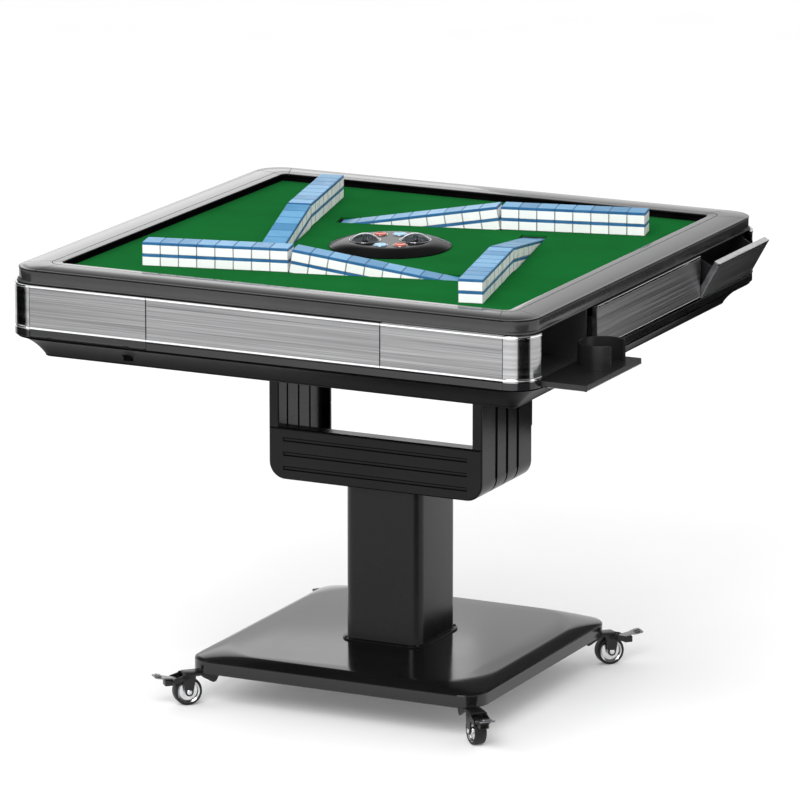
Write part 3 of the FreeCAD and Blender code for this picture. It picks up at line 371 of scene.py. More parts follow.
def painted(tree, source, name, given, label):
    # real geometry in a given finish
    real = add(tree, "GeometryNodeRealizeInstances")
    paint = add(tree, "GeometryNodeSetMaterial")
    wire(tree, (source, name, real, "Geometry"), (real, "Geometry", paint, "Geometry"),
         (given, label, paint, "Material"))
    return paint


def growMesh(name, start, tree, keys, values):
    holder = bpy.data.objects.new(name + "Start", start)
    scene.collection.objects.link(holder)
    grow = holder.modifiers.new("grow", "NODES")
    grow.node_group = tree
    for label, value in values.items():
        grow[keys[label]] = value
    graph = bpy.context.evaluated_depsgraph_get()
    mesh = bpy.data.meshes.new_from_object(holder.evaluated_get(graph), preserve_all_data_layers=True,
                                           depsgraph=graph)
    mesh.name = name
    holder.modifiers.remove(grow)
    bpy.data.objects.remove(holder)
    return mesh


# sweep: a soft rectangular bar along every line of the start mesh
def sweepTree():
    tree, keys, given, result = growTree("barSweep", {"barHeight": "Float", "barDepth": "Float",
                                                      "barRound": "Float", "barFinish": "Material"})
    path = add(tree, "GeometryNodeMeshToCurve")
    level = add(tree, "GeometryNodeSetCurveNormal", mode="Z_UP")
    outline = add(tree, "GeometryNodeCurvePrimitiveQuadrilateral")
    soft = add(tree, "GeometryNodeFilletCurve", {"Count": 3}, mode="POLY")
    sweep = add(tree, "GeometryNodeCurveToMesh", {"Fill Caps": True})
    paint = painted(tree, sweep, "Mesh", given, "barFinish")
    wire(tree, (given, "Geometry", path, "Mesh"), (path, "Curve", level, "Curve"),
         (given, "barDepth", outline, "Width"), (given, "barHeight", outline, "Height"),
         (outline, "Curve", soft, "Curve"), (given, "barRound", soft, "Radius"),
         (level, "Curve", sweep, "Curve"), (soft, "Curve", sweep, "Profile Curve"),
         (paint, "Geometry", result, "Geometry"))
    return tree, keys


barTree, barKeys = sweepTree()


def barsAlong(name, lines, size, look, closed=False):
    form = bmesh.new()
    for line in lines:
        dots = [form.verts.new(dot) for dot in line]
        for first, second in zip(dots, dots[1:] + dots[:1] if closed else dots[1:]):
            form.edges.new((first, second))
    start = bpy.data.meshes.new(name + "Lines")
    form.to_mesh(start)
    form.free()
    values = dict(zip(("barHeight", "barDepth", "barRound"), size), barFinish=paints[look])
    return smoothed(growMesh(name, start, barTree, barKeys, values), "bar")


# panels of the four sides, drawn on the front side and then turned; two on the right side stand open
panels = {"frontPlane": -0.485, "hingeLine": -0.481, "innerPlane": -0.4745, "squarely": 0.8,
          "spans": {"drawer": (-0.2161, 0.2161), "cup_flap": (-0.4376, -0.2169),
                    "bin_flap": (0.2169, 0.4376)},
          "swings": {"cup_flap": (0.6904, 90.0), "bin_flap": (0.7024, 29.0)}, "openSide": "right"}


def panelPlace(side, kind):
    turn = spin(quarters[side])
    if side != panels["openSide"] or kind not in panels["swings"]:
        return turn
    level, angle = panels["swings"][kind]
    pivot = move((0.0, panels["hingeLine"], level))
    return turn @ pivot @ spin(angle, "X") @ pivot.inverted()


# brushed faces and bright trims of drawers and flaps
fascia = {"low": 0.7044, "high": 0.7716, "proud": 0.0006, "sunk": 0.0006, "inset": 0.0005, "soft": 0.0004,
          "trimLevels": (0.7025, 0.7736), "trim": (0.0043, 0.002, 0.0008), "trimPlane": -0.4847,
          "streakShift": (1.7, 0.6)}


def fasciaFace(side, kind):
    left, right = panels["spans"][kind]
    front = panels["frontPlane"]
    form = bmesh.new()
    softBlock(form, (left + fascia["inset"], front - fascia["proud"], fascia["low"]),
              (right - fascia["inset"], front + fascia["sunk"], fascia["high"]), fascia["soft"])
    # no two faces show the same streaks
    perSide, perKind = fascia["streakShift"]
    shift = list(quarters).index(side) * perSide + list(panels["spans"]).index(kind) * perKind
    brushMap = form.loops.layers.uv.new("brushMap")
    for face in form.faces:
        for loop in face.loops:
            loop[brushMap].uv = (loop.vert.co.x + shift, loop.vert.co.z)
    bmesh.ops.transform(form, matrix=panelPlace(side, kind), verts=form.verts)
    name = f"{kind}_face_{side}"
    newPiece(name, meshFrom(form, name, "brushedFace"), f"{kind}_{side}")


def fasciaTrims(side, kind):
    lines = [[Vector((x, fascia["trimPlane"], level)) for x in panels["spans"][kind]]
             for level in fascia["trimLevels"]]
    name = f"{kind}_trims_{side}"
    mesh = barsAlong(name, lines, fascia["trim"], "trimChrome")
    mesh.materials.append(paints["gapAndShadeBlack"])
    for face in mesh.polygons:
        face.material_index = int(abs(face.normal.x) > panels["squarely"])
    mesh.transform(panelPlace(side, kind))
    newPiece(name, mesh, f"{kind}_{side}")


def panelEdges(side, kind):
    # drawers and bin flaps have ends of bare metal, all fronts are glossy, and a bin flap's top edge is pale
    mesh = nodes[f"{kind}_{side}"].data
    for label in ("edgeAluminium", "band_black", "edgePale"):
        mesh.materials.append(paints[label])
    back = panelPlace(side, kind).inverted()
    turn = back.to_3x3()
    for face in mesh.polygons:
        spot, facing = back @ face.center, turn @ face.normal
        if spot.y > panels["innerPlane"]:
            continue
        if abs(facing.x) > panels["squarely"] and spot.z > fascia["trimLevels"][0] and kind != "cup_flap":
            face.material_index = 1
        elif facing.y < -panels["squarely"]:
            face.material_index = 2
        elif facing.z > panels["squarely"] and spot.z > fascia["high"] and kind == "bin_flap":
            face.material_index = 3


for side in quarters:
    for kind in panels["spans"]:
        fasciaFace(side, kind)
        fasciaTrims(side, kind)
        panelEdges(side, kind)

# the same trims run round the four corners
corner = {"reach": 0.438, "radius": 0.0471, "steps": 14}
arcs = [arcDots(spin(turn) @ Vector((corner["reach"], -corner["reach"], level)), corner["radius"], turn,
                corner["steps"]) for turn in quarters.values() for level in fascia["trimLevels"]]
arcMesh = barsAlong("corner_trims", arcs, fascia["trim"], "trimChrome")
newPiece("corner_trims", arcMesh, "table")
print("fascias and trims made")

# rim: crowned rails and corner pieces with an inlaid line, over a skirt; one dark gap lies below the rim,
# and a painted shadow line below the lower band
rim = {"inner": 0.415, "innerRound": 0.01, "outer": 0.4805, "outerRound": 0.05, "seam": 0.001, "steps": 14,
       "foot": 0.7991, "crest": 0.8033, "crestAt": 0.022, "fall": 0.0029, "spread": 0.04, "innerSoft": 0.0016,
       "outerSoft": 0.004, "outerFoot": 0.7996, "inlay": (0.0152, 0.0153, 0.0165, 0.0166),
       "inlayDepth": 0.0012, "profileSteps": (5, 4, 14, 6), "slack": 0.0002, "upright": 0.5,
       "skirtLevels": (0.7786, 0.7988), "skirtHalves": (0.4205, 0.48), "skirtSoft": 0.0012, "skirtEase": 0.3,
       "skirtRound": 0.002, "gaps": {"rim_seam": (0.4802, 0.799, (0.0012, 0.0008, 0.0002)),
                                     "band_shadow_line": (0.4829, 0.6839, (0.003, 0.001, 0.0003))}}


def crownLevel(reach):
    return rim["crest"] - rim["fall"] * ((reach - rim["crestAt"]) / rim["spread"]) ** 2


def rimProfile():
    width, soft, fade = rim["outer"] - rim["inner"], rim["innerSoft"], rim["outerSoft"]
    inlay, foot = rim["inlay"], rim["outerFoot"]
    inner, near, far, outer = rim["profileSteps"]
    dots = [(0.0, rim["foot"])]
    dots += [(soft - soft * math.cos(angle), crownLevel(soft) - soft + soft * math.sin(angle))
             for angle in fan(0.0, 90.0, inner)]
    crown = [soft + (inlay[0] - soft) * step / near for step in range(1, near)]
    crown += [*inlay, *(inlay[3] + (width - fade - inlay[3]) * step / far for step in range(1, far))]
    dots += [(reach, crownLevel(reach) - rim["inlayDepth"] * (reach in inlay[1:3])) for reach in crown]
    drop = crownLevel(width - fade) - foot
    dots += [(width - fade + fade * math.sin(angle), foot + drop * math.cos(angle))
             for angle in fan(0.0, 90.0, outer)]
    return dots + [(width, rim["foot"])]


def cornerSection(profile, angle):
    # one cross-section of a corner, between its inner and its outer arc
    width = rim["outer"] - rim["inner"]
    facing = Vector((math.sin(angle), -math.cos(angle), 0.0))
    ends = [Vector((side - soft, soft - side, 0.0)) + facing * soft
            for side, soft in ((rim["inner"], rim["innerRound"]), (rim["outer"], rim["outerRound"]))]
    return [ends[0].lerp(ends[1], reach / width) + Vector((0.0, 0.0, level)) for reach, level in profile]


def rimForm():
    form = bmesh.new()
    profile = rimProfile()
    arc = [cornerSection(profile, angle) for angle in fan(0.0, 90.0, rim["steps"])]
    end = [dot - Vector((rim["seam"], 0.0, 0.0)) for dot in arc[0]]
    start = [Vector((-dot.x, dot.y, dot.z)) for dot in end]
    for turn in quarters.values():
        for sections in ([start, end], arc):
            skinned(form, [[spin(turn) @ dot for dot in section] for section in sections])
    return form


def ringPath(half, soft, level, longer=0.0):
    path = []
    for turn, across, along in zip(quarters.values(), (1, 1, -1, -1), (-1, 1, 1, -1)):
        centre = Vector((across * (half - soft), along * (half + longer - soft), level))
        path += arcDots(centre, soft, turn, rim["steps"])
    return path


def lofted(profile, closed=True):
    # a profile lists rings by half width, corner and level
    form = bmesh.new()
    skinned(form, [ringPath(*place) for place in profile], closed)
    return form


def skirtForm():
    (low, high), (inner, outer), soft = rim["skirtLevels"], rim["skirtHalves"], rim["skirtSoft"]
    ease = soft * rim["skirtEase"]
    section = [(inner, low), (outer - soft, low), (outer - ease, low + ease), (outer, low + soft),
               (outer, high - soft), (outer - ease, high - ease), (outer - soft, high), (inner, high)]
    middle = rim["outer"] - rim["outerRound"]
    return lofted([(half, max(half - middle, rim["skirtRound"]), level) for half, level in section])


def paintShadeInside(mesh, reach):
    # painted shade: the upright inner faces round the felt, which lie in shadow, are matt black
    mesh.materials.append(paints["gapAndShadeBlack"])
    for face in mesh.polygons:
        inside = max(abs(face.center.x), abs(face.center.y)) < reach
        face.material_index = int(inside and abs(face.normal.z) < rim["upright"])


for name, form, slot, inner, replaced in (
        ("rim_crown", rimForm(), "rim_grey", rim["inner"], ["rim_rails", "rim_corners"]),
        ("skirt_ring", skirtForm(), "skirt_grey", rim["skirtHalves"][0], ["skirt_band"])):
    mesh = smoothed(meshFrom(form, name, slot), "shell")
    paintShadeInside(mesh, inner + rim["slack"])
    newPiece(name, mesh, "table", replaced)
# dark bars: a gap below the rim, and a painted shadow line below the lower band
for name, (half, level, bar) in rim["gaps"].items():
    line = ringPath(half, half - rim["outer"] + rim["outerRound"], level)
    newPiece(name, barsAlong(name, [line], bar, "gapAndShadeBlack", closed=True), "table")
print("rim made")

# base cover: a pressed shell whose slope eases into its plateau
base = {"edge": (0.2775, 0.045), "plateau": (0.253, 0.13), "levels": (0.0591, 0.082, 0.0919), "soft": 0.0034,
        "brow": (70.0, 4), "steps": 10, "ease": 1.5, "setBack": 0.04,
        "inner": [(0.2615, 0.004, 0.0591), (0.2615, 0.004, 0.079), (0.2525, 0.13, 0.079),
                  (0.2525, 0.13, 0.089)]}


def baseForm():
    (half, bend), (low, brow, high), soft = base["edge"], base["levels"], base["soft"]
    rings = [(half, bend, low)]
    for angle in fan(0.0, *base["brow"]):
        drop = soft * (1.0 - math.cos(angle))
        rings.append((half - drop, bend - drop, brow - soft + soft * math.sin(angle)))
    start, end = rings[-1], (*base["plateau"], high)
    for step in range(1, base["steps"] + 1):
        share = step / base["steps"]
        shares = (share, share, 1.0 - (1.0 - share) ** base["ease"])
        rings.append(tuple(a + (b - a) * part for a, b, part in zip(start, end, shares)))
    return lofted(rings[::-1] + base["inner"], closed=False)


# column: rounded tube on a thin foot; its rings are longer from front to back
post = {"longer": 0.0055,
        "rings": [(0.0805, 0.03, 0.0922), (0.0805, 0.03, 0.0944), (0.08, 0.0295, 0.095),
                  (0.0742, 0.0237, 0.0953), (0.0729, 0.0224, 0.096), (0.0725, 0.022, 0.0975),
                  (0.0725, 0.022, 0.3718), (0.0685, 0.018, 0.3718), (0.0685, 0.018, 0.0922)]}
postForm = lofted([(*ring, post["longer"]) for ring in post["rings"]])
for name, form, look, replaced in (("base_shell", baseForm(), "baseGloss", ["base_cover"]),
                                   ("column_tube", postForm, "black_paint", ["column"])):
    bmesh.ops.translate(form, verts=form.verts, vec=(0.0, base["setBack"], 0.0))
    newPiece(name, smoothed(meshFrom(form, name, look), "shell"), "pedestal", replaced)
print("base and column made")

# tiles: white body with a blue back, in walls of two layers
tiles = {"width": 0.0315, "length": 0.042, "thickness": 0.0205, "backShare": 0.24, "soft": 0.001,
         "pitch": 0.0317, "wallStart": -0.394, "wallMiddle": -0.207, "feltTop": 0.789, "flatStacks": 8,
         "rampStacks": 9, "layers": 2, "looseness": 0.0003, "seed": 7, "wallTurn": 13.5,
         "shift": (0.02, -0.008, 0.0), "bend": (-0.1404, 0.783), "rampDrop": 9.0, "flatly": 0.9,
         "marks": {"backLayer": "tileBack", "backEdge": "tileBackShadedSide", "bodyEdge": "tileBodyShadeLine"}}


def tileStart():
    form = bmesh.new()
    half, long, high = tiles["width"] / 2, tiles["length"] / 2, tiles["thickness"]
    softBlock(form, (-half, -long, 0.0), (half, long, high), tiles["soft"], segments=1)
    seam = high * (1.0 - tiles["backShare"])
    bmesh.ops.bisect_plane(form, geom=form.verts[:] + form.edges[:] + form.faces[:], plane_co=(0, 0, seam),
                           plane_no=(0, 0, 1))
    mesh = meshFrom(form, "tileStart")
    for mark in tiles["marks"]:
        mesh.attributes.new(mark, "BOOLEAN", "FACE")
    # painted shade: the body's chamfers and the sides of the blue back are marked for darker finishes
    for face in mesh.polygons:
        above, slanted = face.center.z > seam, max(abs(part) for part in face.normal) < tiles["flatly"]
        answers = (above, above and face.normal.z < tiles["flatly"], slanted and not above)
        for mark, answer in zip(tiles["marks"], answers):
            mesh.attributes[mark].data[face.index].value = answer
    return mesh


def tileTree():
    tree, keys, given, result = growTree(
        "tileWall", {"stackCount": "Int", "stackPitch": "Float", "layerCount": "Int", "layerRise": "Float",
                     "wallStart": "Vector", "wallCount": "Int", "looseness": "Float", "seed": "Int",
                     "bodyFinish": "Material", **{mark: "Material" for mark in tiles["marks"]}})
    step, rise, about = (add(tree, "ShaderNodeCombineXYZ") for axis in range(3))
    stacks, layers = (add(tree, "GeometryNodeMeshLine") for line in range(2))
    turns = add(tree, "GeometryNodeMeshLine", {"Offset": (0.0, 0.0, 0.0)})
    grid, wall, around = (add(tree, "GeometryNodeInstanceOnPoints") for level in range(3))
    dots = add(tree, "GeometryNodeRealizeInstances")
    low, high = (add(tree, "ShaderNodeVectorMath", {0: (0.0, sign, 0.0)}, operation="SCALE")
                 for sign in (-1.0, 1.0))
    stray = add(tree, "FunctionNodeRandomValue", data_type="FLOAT_VECTOR")
    nudge = add(tree, "GeometryNodeSetPosition")
    tone = add(tree, "FunctionNodeRandomValue", data_type="FLOAT")
    keep = add(tree, "GeometryNodeStoreNamedAttribute", {"Name": "tileTone"}, data_type="FLOAT",
               domain="INSTANCE")
    index = add(tree, "GeometryNodeInputIndex")
    angle = add(tree, "ShaderNodeMath", {1: math.pi / 2}, operation="MULTIPLY")
    paint = painted(tree, around, "Instances", given, "bodyFinish")
    wire(tree, (given, "stackPitch", step, "X"), (given, "layerRise", rise, "Z"),
         (given, "stackCount", stacks, "Count"), (step, "Vector", stacks, "Offset"),
         (given, "wallStart", stacks, "Start Location"), (given, "layerCount", layers, "Count"),
         (rise, "Vector", layers, "Offset"), (stacks, "Mesh", grid, "Points"),
         (layers, "Mesh", grid, "Instance"), (grid, "Instances", dots, "Geometry"),
         (given, "looseness", low, "Scale"), (given, "looseness", high, "Scale"), (low, "Vector", stray, 0),
         (high, "Vector", stray, 1), (given, "seed", stray, "Seed"), (given, "seed", tone, "Seed"),
         (dots, "Geometry", nudge, "Geometry"), (stray, 0, nudge, "Offset"),
         (nudge, "Geometry", wall, "Points"), (given, "Geometry", wall, "Instance"),
         (wall, "Instances", keep, "Geometry"), (tone, 1, keep, "Value"),
         (given, "wallCount", turns, "Count"), (index, "Index", angle, 0), (angle, "Value", about, "Z"),
         (turns, "Mesh", around, "Points"), (keep, "Geometry", around, "Instance"),
         (about, "Vector", around, "Rotation"))
    for mark in tiles["marks"]:
        before = paint
        picked = add(tree, "GeometryNodeInputNamedAttribute", {"Name": mark}, data_type="BOOLEAN")
        paint = add(tree, "GeometryNodeSetMaterial")
        wire(tree, (before, "Geometry", paint, "Geometry"), (picked, 0, paint, "Selection"),
             (given, mark, paint, "Material"))
    wire(tree, (paint, "Geometry", result, "Geometry"))
    return tree, keys


wallTree, wallKeys = tileTree()


def tileWall(name, firstStack, stackCount, wallCount, seed):
    first = tiles["wallStart"] + (firstStack + 0.5) * tiles["pitch"]
    values = {"stackCount": stackCount, "stackPitch": tiles["pitch"], "layerCount": tiles["layers"],
              "layerRise": tiles["thickness"], "wallStart": (first, tiles["wallMiddle"], tiles["feltTop"]),
              "wallCount": wallCount, "looseness": tiles["looseness"], "seed": seed,
              "bodyFinish": paints["tileBody"]}
    values.update({mark: paints[look] for mark, look in tiles["marks"].items()})
    return growMesh(name, tileStart(), wallTree, wallKeys, values)


def wallPlace(angle):
    return move(tiles["shift"]) @ spin(angle + tiles["wallTurn"])


flatWalls = tileWall("felt_tiles", 0, tiles["flatStacks"], len(quarters), tiles["seed"])
flatWalls.transform(wallPlace(0.0))
newPiece("felt_tiles", flatWalls, "table", ["tiles_on_felt"])
pivot = move((tiles["bend"][0], 0.0, tiles["bend"][1]))
for order, (side, angle) in enumerate(quarters.items(), start=1):
    name = f"ramp_wall_{side}"
    mesh = tileWall(name, tiles["flatStacks"], tiles["rampStacks"], 1, tiles["seed"] + order)
    mesh.transform(wallPlace(angle) @ pivot @ spin(tiles["rampDrop"], "Y") @ pivot.inverted())
    newPiece(name, mesh, f"ramp_{side}", [f"ramp_tiles_{side}"])
print("tile walls made")

# console: bright rings, dished buttons and marked dice
console = {"deck": 0.8003, "turn": 26.0, "buttonOrbit": 0.047, "buttonFoot": 0.7958, "domeOrbit": 0.043,
           "domeRing": 0.0268, "buttonRing": 0.0122, "ringBar": (0.0011, 0.0012, 0.0004), "ringProud": 1 / 3,
           "bearings": {"dice_back": 137.0, "lift_back": 95.0, "dice_front": 317.0, "lift_front": 275.0},
           "button": [(0.0, 0.0061), (0.004, 0.0062), (0.0078, 0.0067), (0.0094, 0.007), (0.0104, 0.0067),
                      (0.011, 0.0058), (0.011, 0.0), (0.0, 0.0)], "steps": 40}
console["domes"] = (console["turn"], console["turn"] + 180.0)


def spotAt(bearing, orbit, level):
    angle = math.radians(bearing)
    return Vector((math.cos(angle) * orbit, math.sin(angle) * orbit, level))


def turned(form, profile, place, steps, ring=False, look=0):
    # the profile of radius and level runs once round the section, from the axis or as a ring
    rows = []
    for radius, level in profile:
        count = steps if radius > 0 else 1
        rows.append([form.verts.new(place @ spotAt(360.0 * step / steps, radius, level))
                     for step in range(count)])
    for upper, lower in zip(rows, rows[1:] + rows[:1] if ring else rows[1:]):
        for step in range(steps):
            after = (step + 1) % steps
            loop = [upper[step % len(upper)], lower[step % len(lower)], lower[after % len(lower)],
                    upper[after % len(upper)]]
            form.faces.new(list(dict.fromkeys(loop))).material_index = look


def consoleRings():
    level, steps = console["deck"] + console["ringBar"][0] * console["ringProud"], console["steps"]
    middles = [(spotAt(bearing, console["buttonOrbit"], level), console["buttonRing"])
               for bearing in console["bearings"].values()]
    middles += [(spotAt(bearing, console["domeOrbit"], level), console["domeRing"])
                for bearing in console["domes"]]
    return [[middle + spotAt(360.0 * step / steps, radius, 0.0) for step in range(steps)]
            for middle, radius in middles]


ringMesh = barsAlong("console_rings", consoleRings(), console["ringBar"], "hubChrome", closed=True)
newPiece("console_rings", ringMesh, "console")
for label, bearing in console["bearings"].items():
    form = bmesh.new()
    place = move(spotAt(bearing, console["buttonOrbit"], console["buttonFoot"]))
    turned(form, console["button"], place, console["steps"])
    name = f"push_button_{label}"
    slot = "button_red" if label.startswith("dice") else "button_blue"
    newPiece(name, smoothed(meshFrom(form, name, slot)), f"button_{label}", [f"console_button_{label}"])

# pips on the two dice below the domes
pips = {"radius": 0.0009, "taper": 0.8, "depth": 0.0002, "step": 0.0025, "segments": 10,
        "faces": {5: (0, 0, 1), 2: (0, 0, -1), 3: (1, 0, 0), 4: (-1, 0, 0), 1: (0, 1, 0), 6: (0, -1, 0)},
        "spots": {1: ((0, 0),), 2: ((-1, -1), (1, 1)), 3: ((-1, -1), (0, 0), (1, 1)),
                  4: ((-1, -1), (1, -1), (-1, 1), (1, 1)), 5: ((-1, -1), (1, -1), (-1, 1), (1, 1), (0, 0)),
                  6: ((-1, -1), (1, -1), (-1, 0), (1, 0), (-1, 1), (1, 1))}}


def pipForm():
    form = bmesh.new()
    low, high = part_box("dice")
    half = (high.z - low.z) / 2
    for bearing in console["domes"]:
        middle = move(spotAt(bearing, console["domeOrbit"], low.z + half))
        for count, facing in pips["faces"].items():
            turn = Vector(facing).to_track_quat("Z", "Y").to_matrix().to_4x4()
            for across, along in pips["spots"][count]:
                spot = move((across * pips["step"], along * pips["step"], half))
                bmesh.ops.create_cone(form, cap_ends=True, segments=pips["segments"], radius1=pips["radius"],
                                      radius2=pips["radius"] * pips["taper"], depth=pips["depth"],
                                      matrix=middle @ spin(console["turn"]) @ turn @ spot)
    return form


newPiece("dice_pips", meshFrom(pipForm(), "dice_pips", "pipInk"), "console")
print("console dressed")

# casters, drawn with the stem on the axis and the wheel trailing along +X, then set below the base
caster = {
    "stems": {"front_left": (-0.249, -0.209, 225.0), "front_right": (0.249, -0.209, 315.0),
              "back_right": (0.249, 0.289, 45.0), "back_left": (-0.249, 0.289, 135.0)},
    "axle": (0.038, 0.0, 0.025), "steps": 30, "smallSteps": 15, "cheekSteps": 18,
    "tyre": [(0.0201, -0.0103), (0.0222, -0.011), (0.0242, -0.0097), (0.025, -0.0068), (0.025, 0.0068),
             (0.0242, 0.0097), (0.0222, 0.011), (0.0201, 0.0103)],
    "hub": [(0.0, 0.0108), (0.0056, 0.0108), (0.0063, 0.0102), (0.0072, 0.0066), (0.016, 0.006),
            (0.0182, 0.0086), (0.0201, 0.0096)],
    "cheeks": [[(0.0295, 0.0535, 0.0035), (0.047, 0.0535, 0.0035), (0.038, 0.025, 0.0075)],
               [(0.036, 0.0535, 0.0045), (0.062, 0.046, 0.005)],
               [(-0.0125, 0.0535, 0.004), (0.012, 0.0535, 0.004), (-0.006, 0.0455, 0.006)]],
    "cheekLevels": (0.012, 0.0149),
    "hood": ((-0.0165, -0.0148, 0.0521), (0.046, 0.0148, 0.0584), 0.0022),
    "stem": [(0.0, 0.0746), (0.0049, 0.0746), (0.0049, 0.0586), (0.0132, 0.0586), (0.0142, 0.0578),
             (0.0142, 0.0562), (0.0, 0.0562)],
    "cap": [(0.0, 0.0163), (0.0036, 0.0163), (0.0046, 0.0155), (0.0046, 0.0145), (0.0, 0.0145)],
    "pivot": (0.062, 0.0, 0.046), "barrel": [(0.0, 0.0114), (0.0036, 0.0114), (0.004, 0.011)],
    "plate": [(0.058, 0.0085), (0.079, 0.0085), (0.086, 0.0132), (0.0968, 0.0132), (0.0996, 0.0104)],
    "plateLevels": (0.0478, 0.0498), "tilt": 10.0,
    "bump": ((0.0868, -0.0078, 0.049), (0.0956, 0.0078, 0.0528), 0.0013),
    "block": ((0.0645, -0.0082, 0.0372), (0.0795, 0.0082, 0.0482), 0.0014)}
sideways = spin(-90.0, "X")


def mirrored(profile):
    return profile + [(reach, -side) for reach, side in reversed(profile)]


def wheelForm():
    form = bmesh.new()
    place = move(caster["axle"]) @ sideways
    turned(form, caster["tyre"], place, caster["steps"], ring=True)
    turned(form, mirrored(caster["hub"]), place, caster["steps"], look=1)
    return form


def forkForm():
    form = bmesh.new()
    for rounds in caster["cheeks"]:
        dots = [Vector((x + radius * math.cos(angle), z + radius * math.sin(angle)))
                for x, z, radius in rounds for angle in fan(0.0, 360.0, caster["cheekSteps"])[:-1]]
        outline = [dots[index] for index in geometry.convex_hull_2d(dots)]
        for sign in (-1.0, 1.0):
            skinned(form, [[(dot.x, sign * level, dot.y) for dot in outline]
                           for level in caster["cheekLevels"]])
    softBlock(form, *caster["hood"])
    turned(form, caster["stem"], Matrix.Identity(4), caster["steps"])
    for flip in (0.0, 180.0):
        place = move(caster["axle"]) @ spin(flip) @ sideways
        turned(form, caster["cap"], place, caster["smallSteps"], look=1)
    return form


def pedalForm():
    form = bmesh.new()
    skinned(form, [[(*dot, level) for dot in mirrored(caster["plate"])] for level in caster["plateLevels"]])
    softBlock(form, *caster["bump"])
    bmesh.ops.rotate(form, verts=form.verts, cent=caster["pivot"], matrix=spin(-caster["tilt"], "Y").to_3x3())
    barrel = move(caster["pivot"]) @ sideways
    turned(form, mirrored(caster["barrel"]), barrel, caster["smallSteps"])
    before = len(form.faces)
    softBlock(form, *caster["block"])
    form.faces.ensure_lookup_table()
    for face in form.faces[before:]:
        face.material_index = 1
    return form


for label, (x, y, turn) in caster["stems"].items():
    place = move((x, y, 0.0)) @ spin(turn)
    for kind, made, slot, second, body in (("wheel", wheelForm, "wheel_rubber", "hubChrome", "wheel"),
                                           ("fork", forkForm, "caster_black", "hubChrome", "caster"),
                                           ("brake", pedalForm, "pedal_steel", "caster_black", "brake")):
        form = made()
        bmesh.ops.transform(form, matrix=place, verts=form.verts)
        name = f"{kind}_look_{label}"
        mesh = smoothed(meshFrom(form, name, slot, second))
        newPiece(name, mesh, f"{body}_{label}", [f"caster_{kind}_{label}"])
print("casters made")

# painted shade: dark lines along the edges of the grooves in the yoke, where shade falls
grooves = {"front": -0.0632, "levels": (0.3925, 0.418, 0.4435), "reach": 0.1755, "side": 0.2037,
           "places": (-0.0035, 0.04, 0.0835), "rise": (0.402, 0.635), "half": 0.003,
           "bar": (0.0011, 0.0008, 0.0002), "sideBar": (0.0008, 0.0011, 0.0002)}


def grooveShadeLines():
    edges = (-grooves["half"], grooves["half"])
    across = [[Vector((x, grooves["front"], level + edge)) for x in (-grooves["reach"], grooves["reach"])]
              for level in grooves["levels"] for edge in edges]
    upright = [[Vector((x, place + edge, z)) for z in grooves["rise"]]
               for x in (-grooves["side"], grooves["side"]) for place in grooves["places"] for edge in edges]
    return {"yoke_groove_shade": (across, grooves["bar"]), "arm_groove_shade": (upright, grooves["sideBar"])}


for name, (lines, bar) in grooveShadeLines().items():
    newPiece(name, barsAlong(name, lines, bar, "gapAndShadeBlack"), "pedestal")
print("yoke lines made")

# screws in rows: foot of the column, leaves of the fold hinge and underside of the hull
screws = {"head": [(0.0, 0.0005), (0.0012, 0.0005), (0.0013, 0.0017), (0.0021, 0.0015), (0.0027, 0.0007),
                   (0.0028, -0.0004), (0.0, -0.0004)], "segments": 12,
          "rows": {
              "column_screws": ("pedestal", "caster_black", 1.0, (0.1378, 0.1488, 2, 2, (0.0, 0.04, 0.0954))),
              "hinge_screws": ("table", "screwSteel", -1.0, (0.338, 0.052, 2, 2, (0.0, 0.151, 0.639))),
              "hull_screws": ("table", "screwSteel", -1.0, (0.8, 0.8, 4, 4, (0.0, 0.0, 0.644)))}}


def screwTree():
    tree, keys, given, result = growTree("screwGrid", {"spanX": "Float", "spanY": "Float", "countX": "Int",
                                                       "countY": "Int", "middle": "Vector",
                                                       "finish": "Material"})
    grid = add(tree, "GeometryNodeMeshGrid")
    shift = add(tree, "GeometryNodeSetPosition")
    heads = add(tree, "GeometryNodeInstanceOnPoints")
    paint = painted(tree, heads, "Instances", given, "finish")
    wire(tree, (given, "spanX", grid, "Size X"), (given, "spanY", grid, "Size Y"),
         (given, "countX", grid, "Vertices X"), (given, "countY", grid, "Vertices Y"),
         (grid, "Mesh", shift, "Geometry"), (given, "middle", shift, "Offset"),
         (shift, "Geometry", heads, "Points"), (given, "Geometry", heads, "Instance"),
         (paint, "Geometry", result, "Geometry"))
    return tree, keys


screwGrid, screwKeys = screwTree()
for name, (body, look, facing, layout) in screws["rows"].items():
    form = bmesh.new()
    head = [(radius, level * facing) for radius, level in screws["head"]]
    turned(form, head, Matrix.Identity(4), screws["segments"])
    values = dict(zip(("spanX", "spanY", "countX", "countY", "middle"), layout), finish=paints[look])
    mesh = growMesh(name, meshFrom(form, name + "Head"), screwGrid, screwKeys, values)
    newPiece(name, smoothed(mesh), body)
print("screws set")

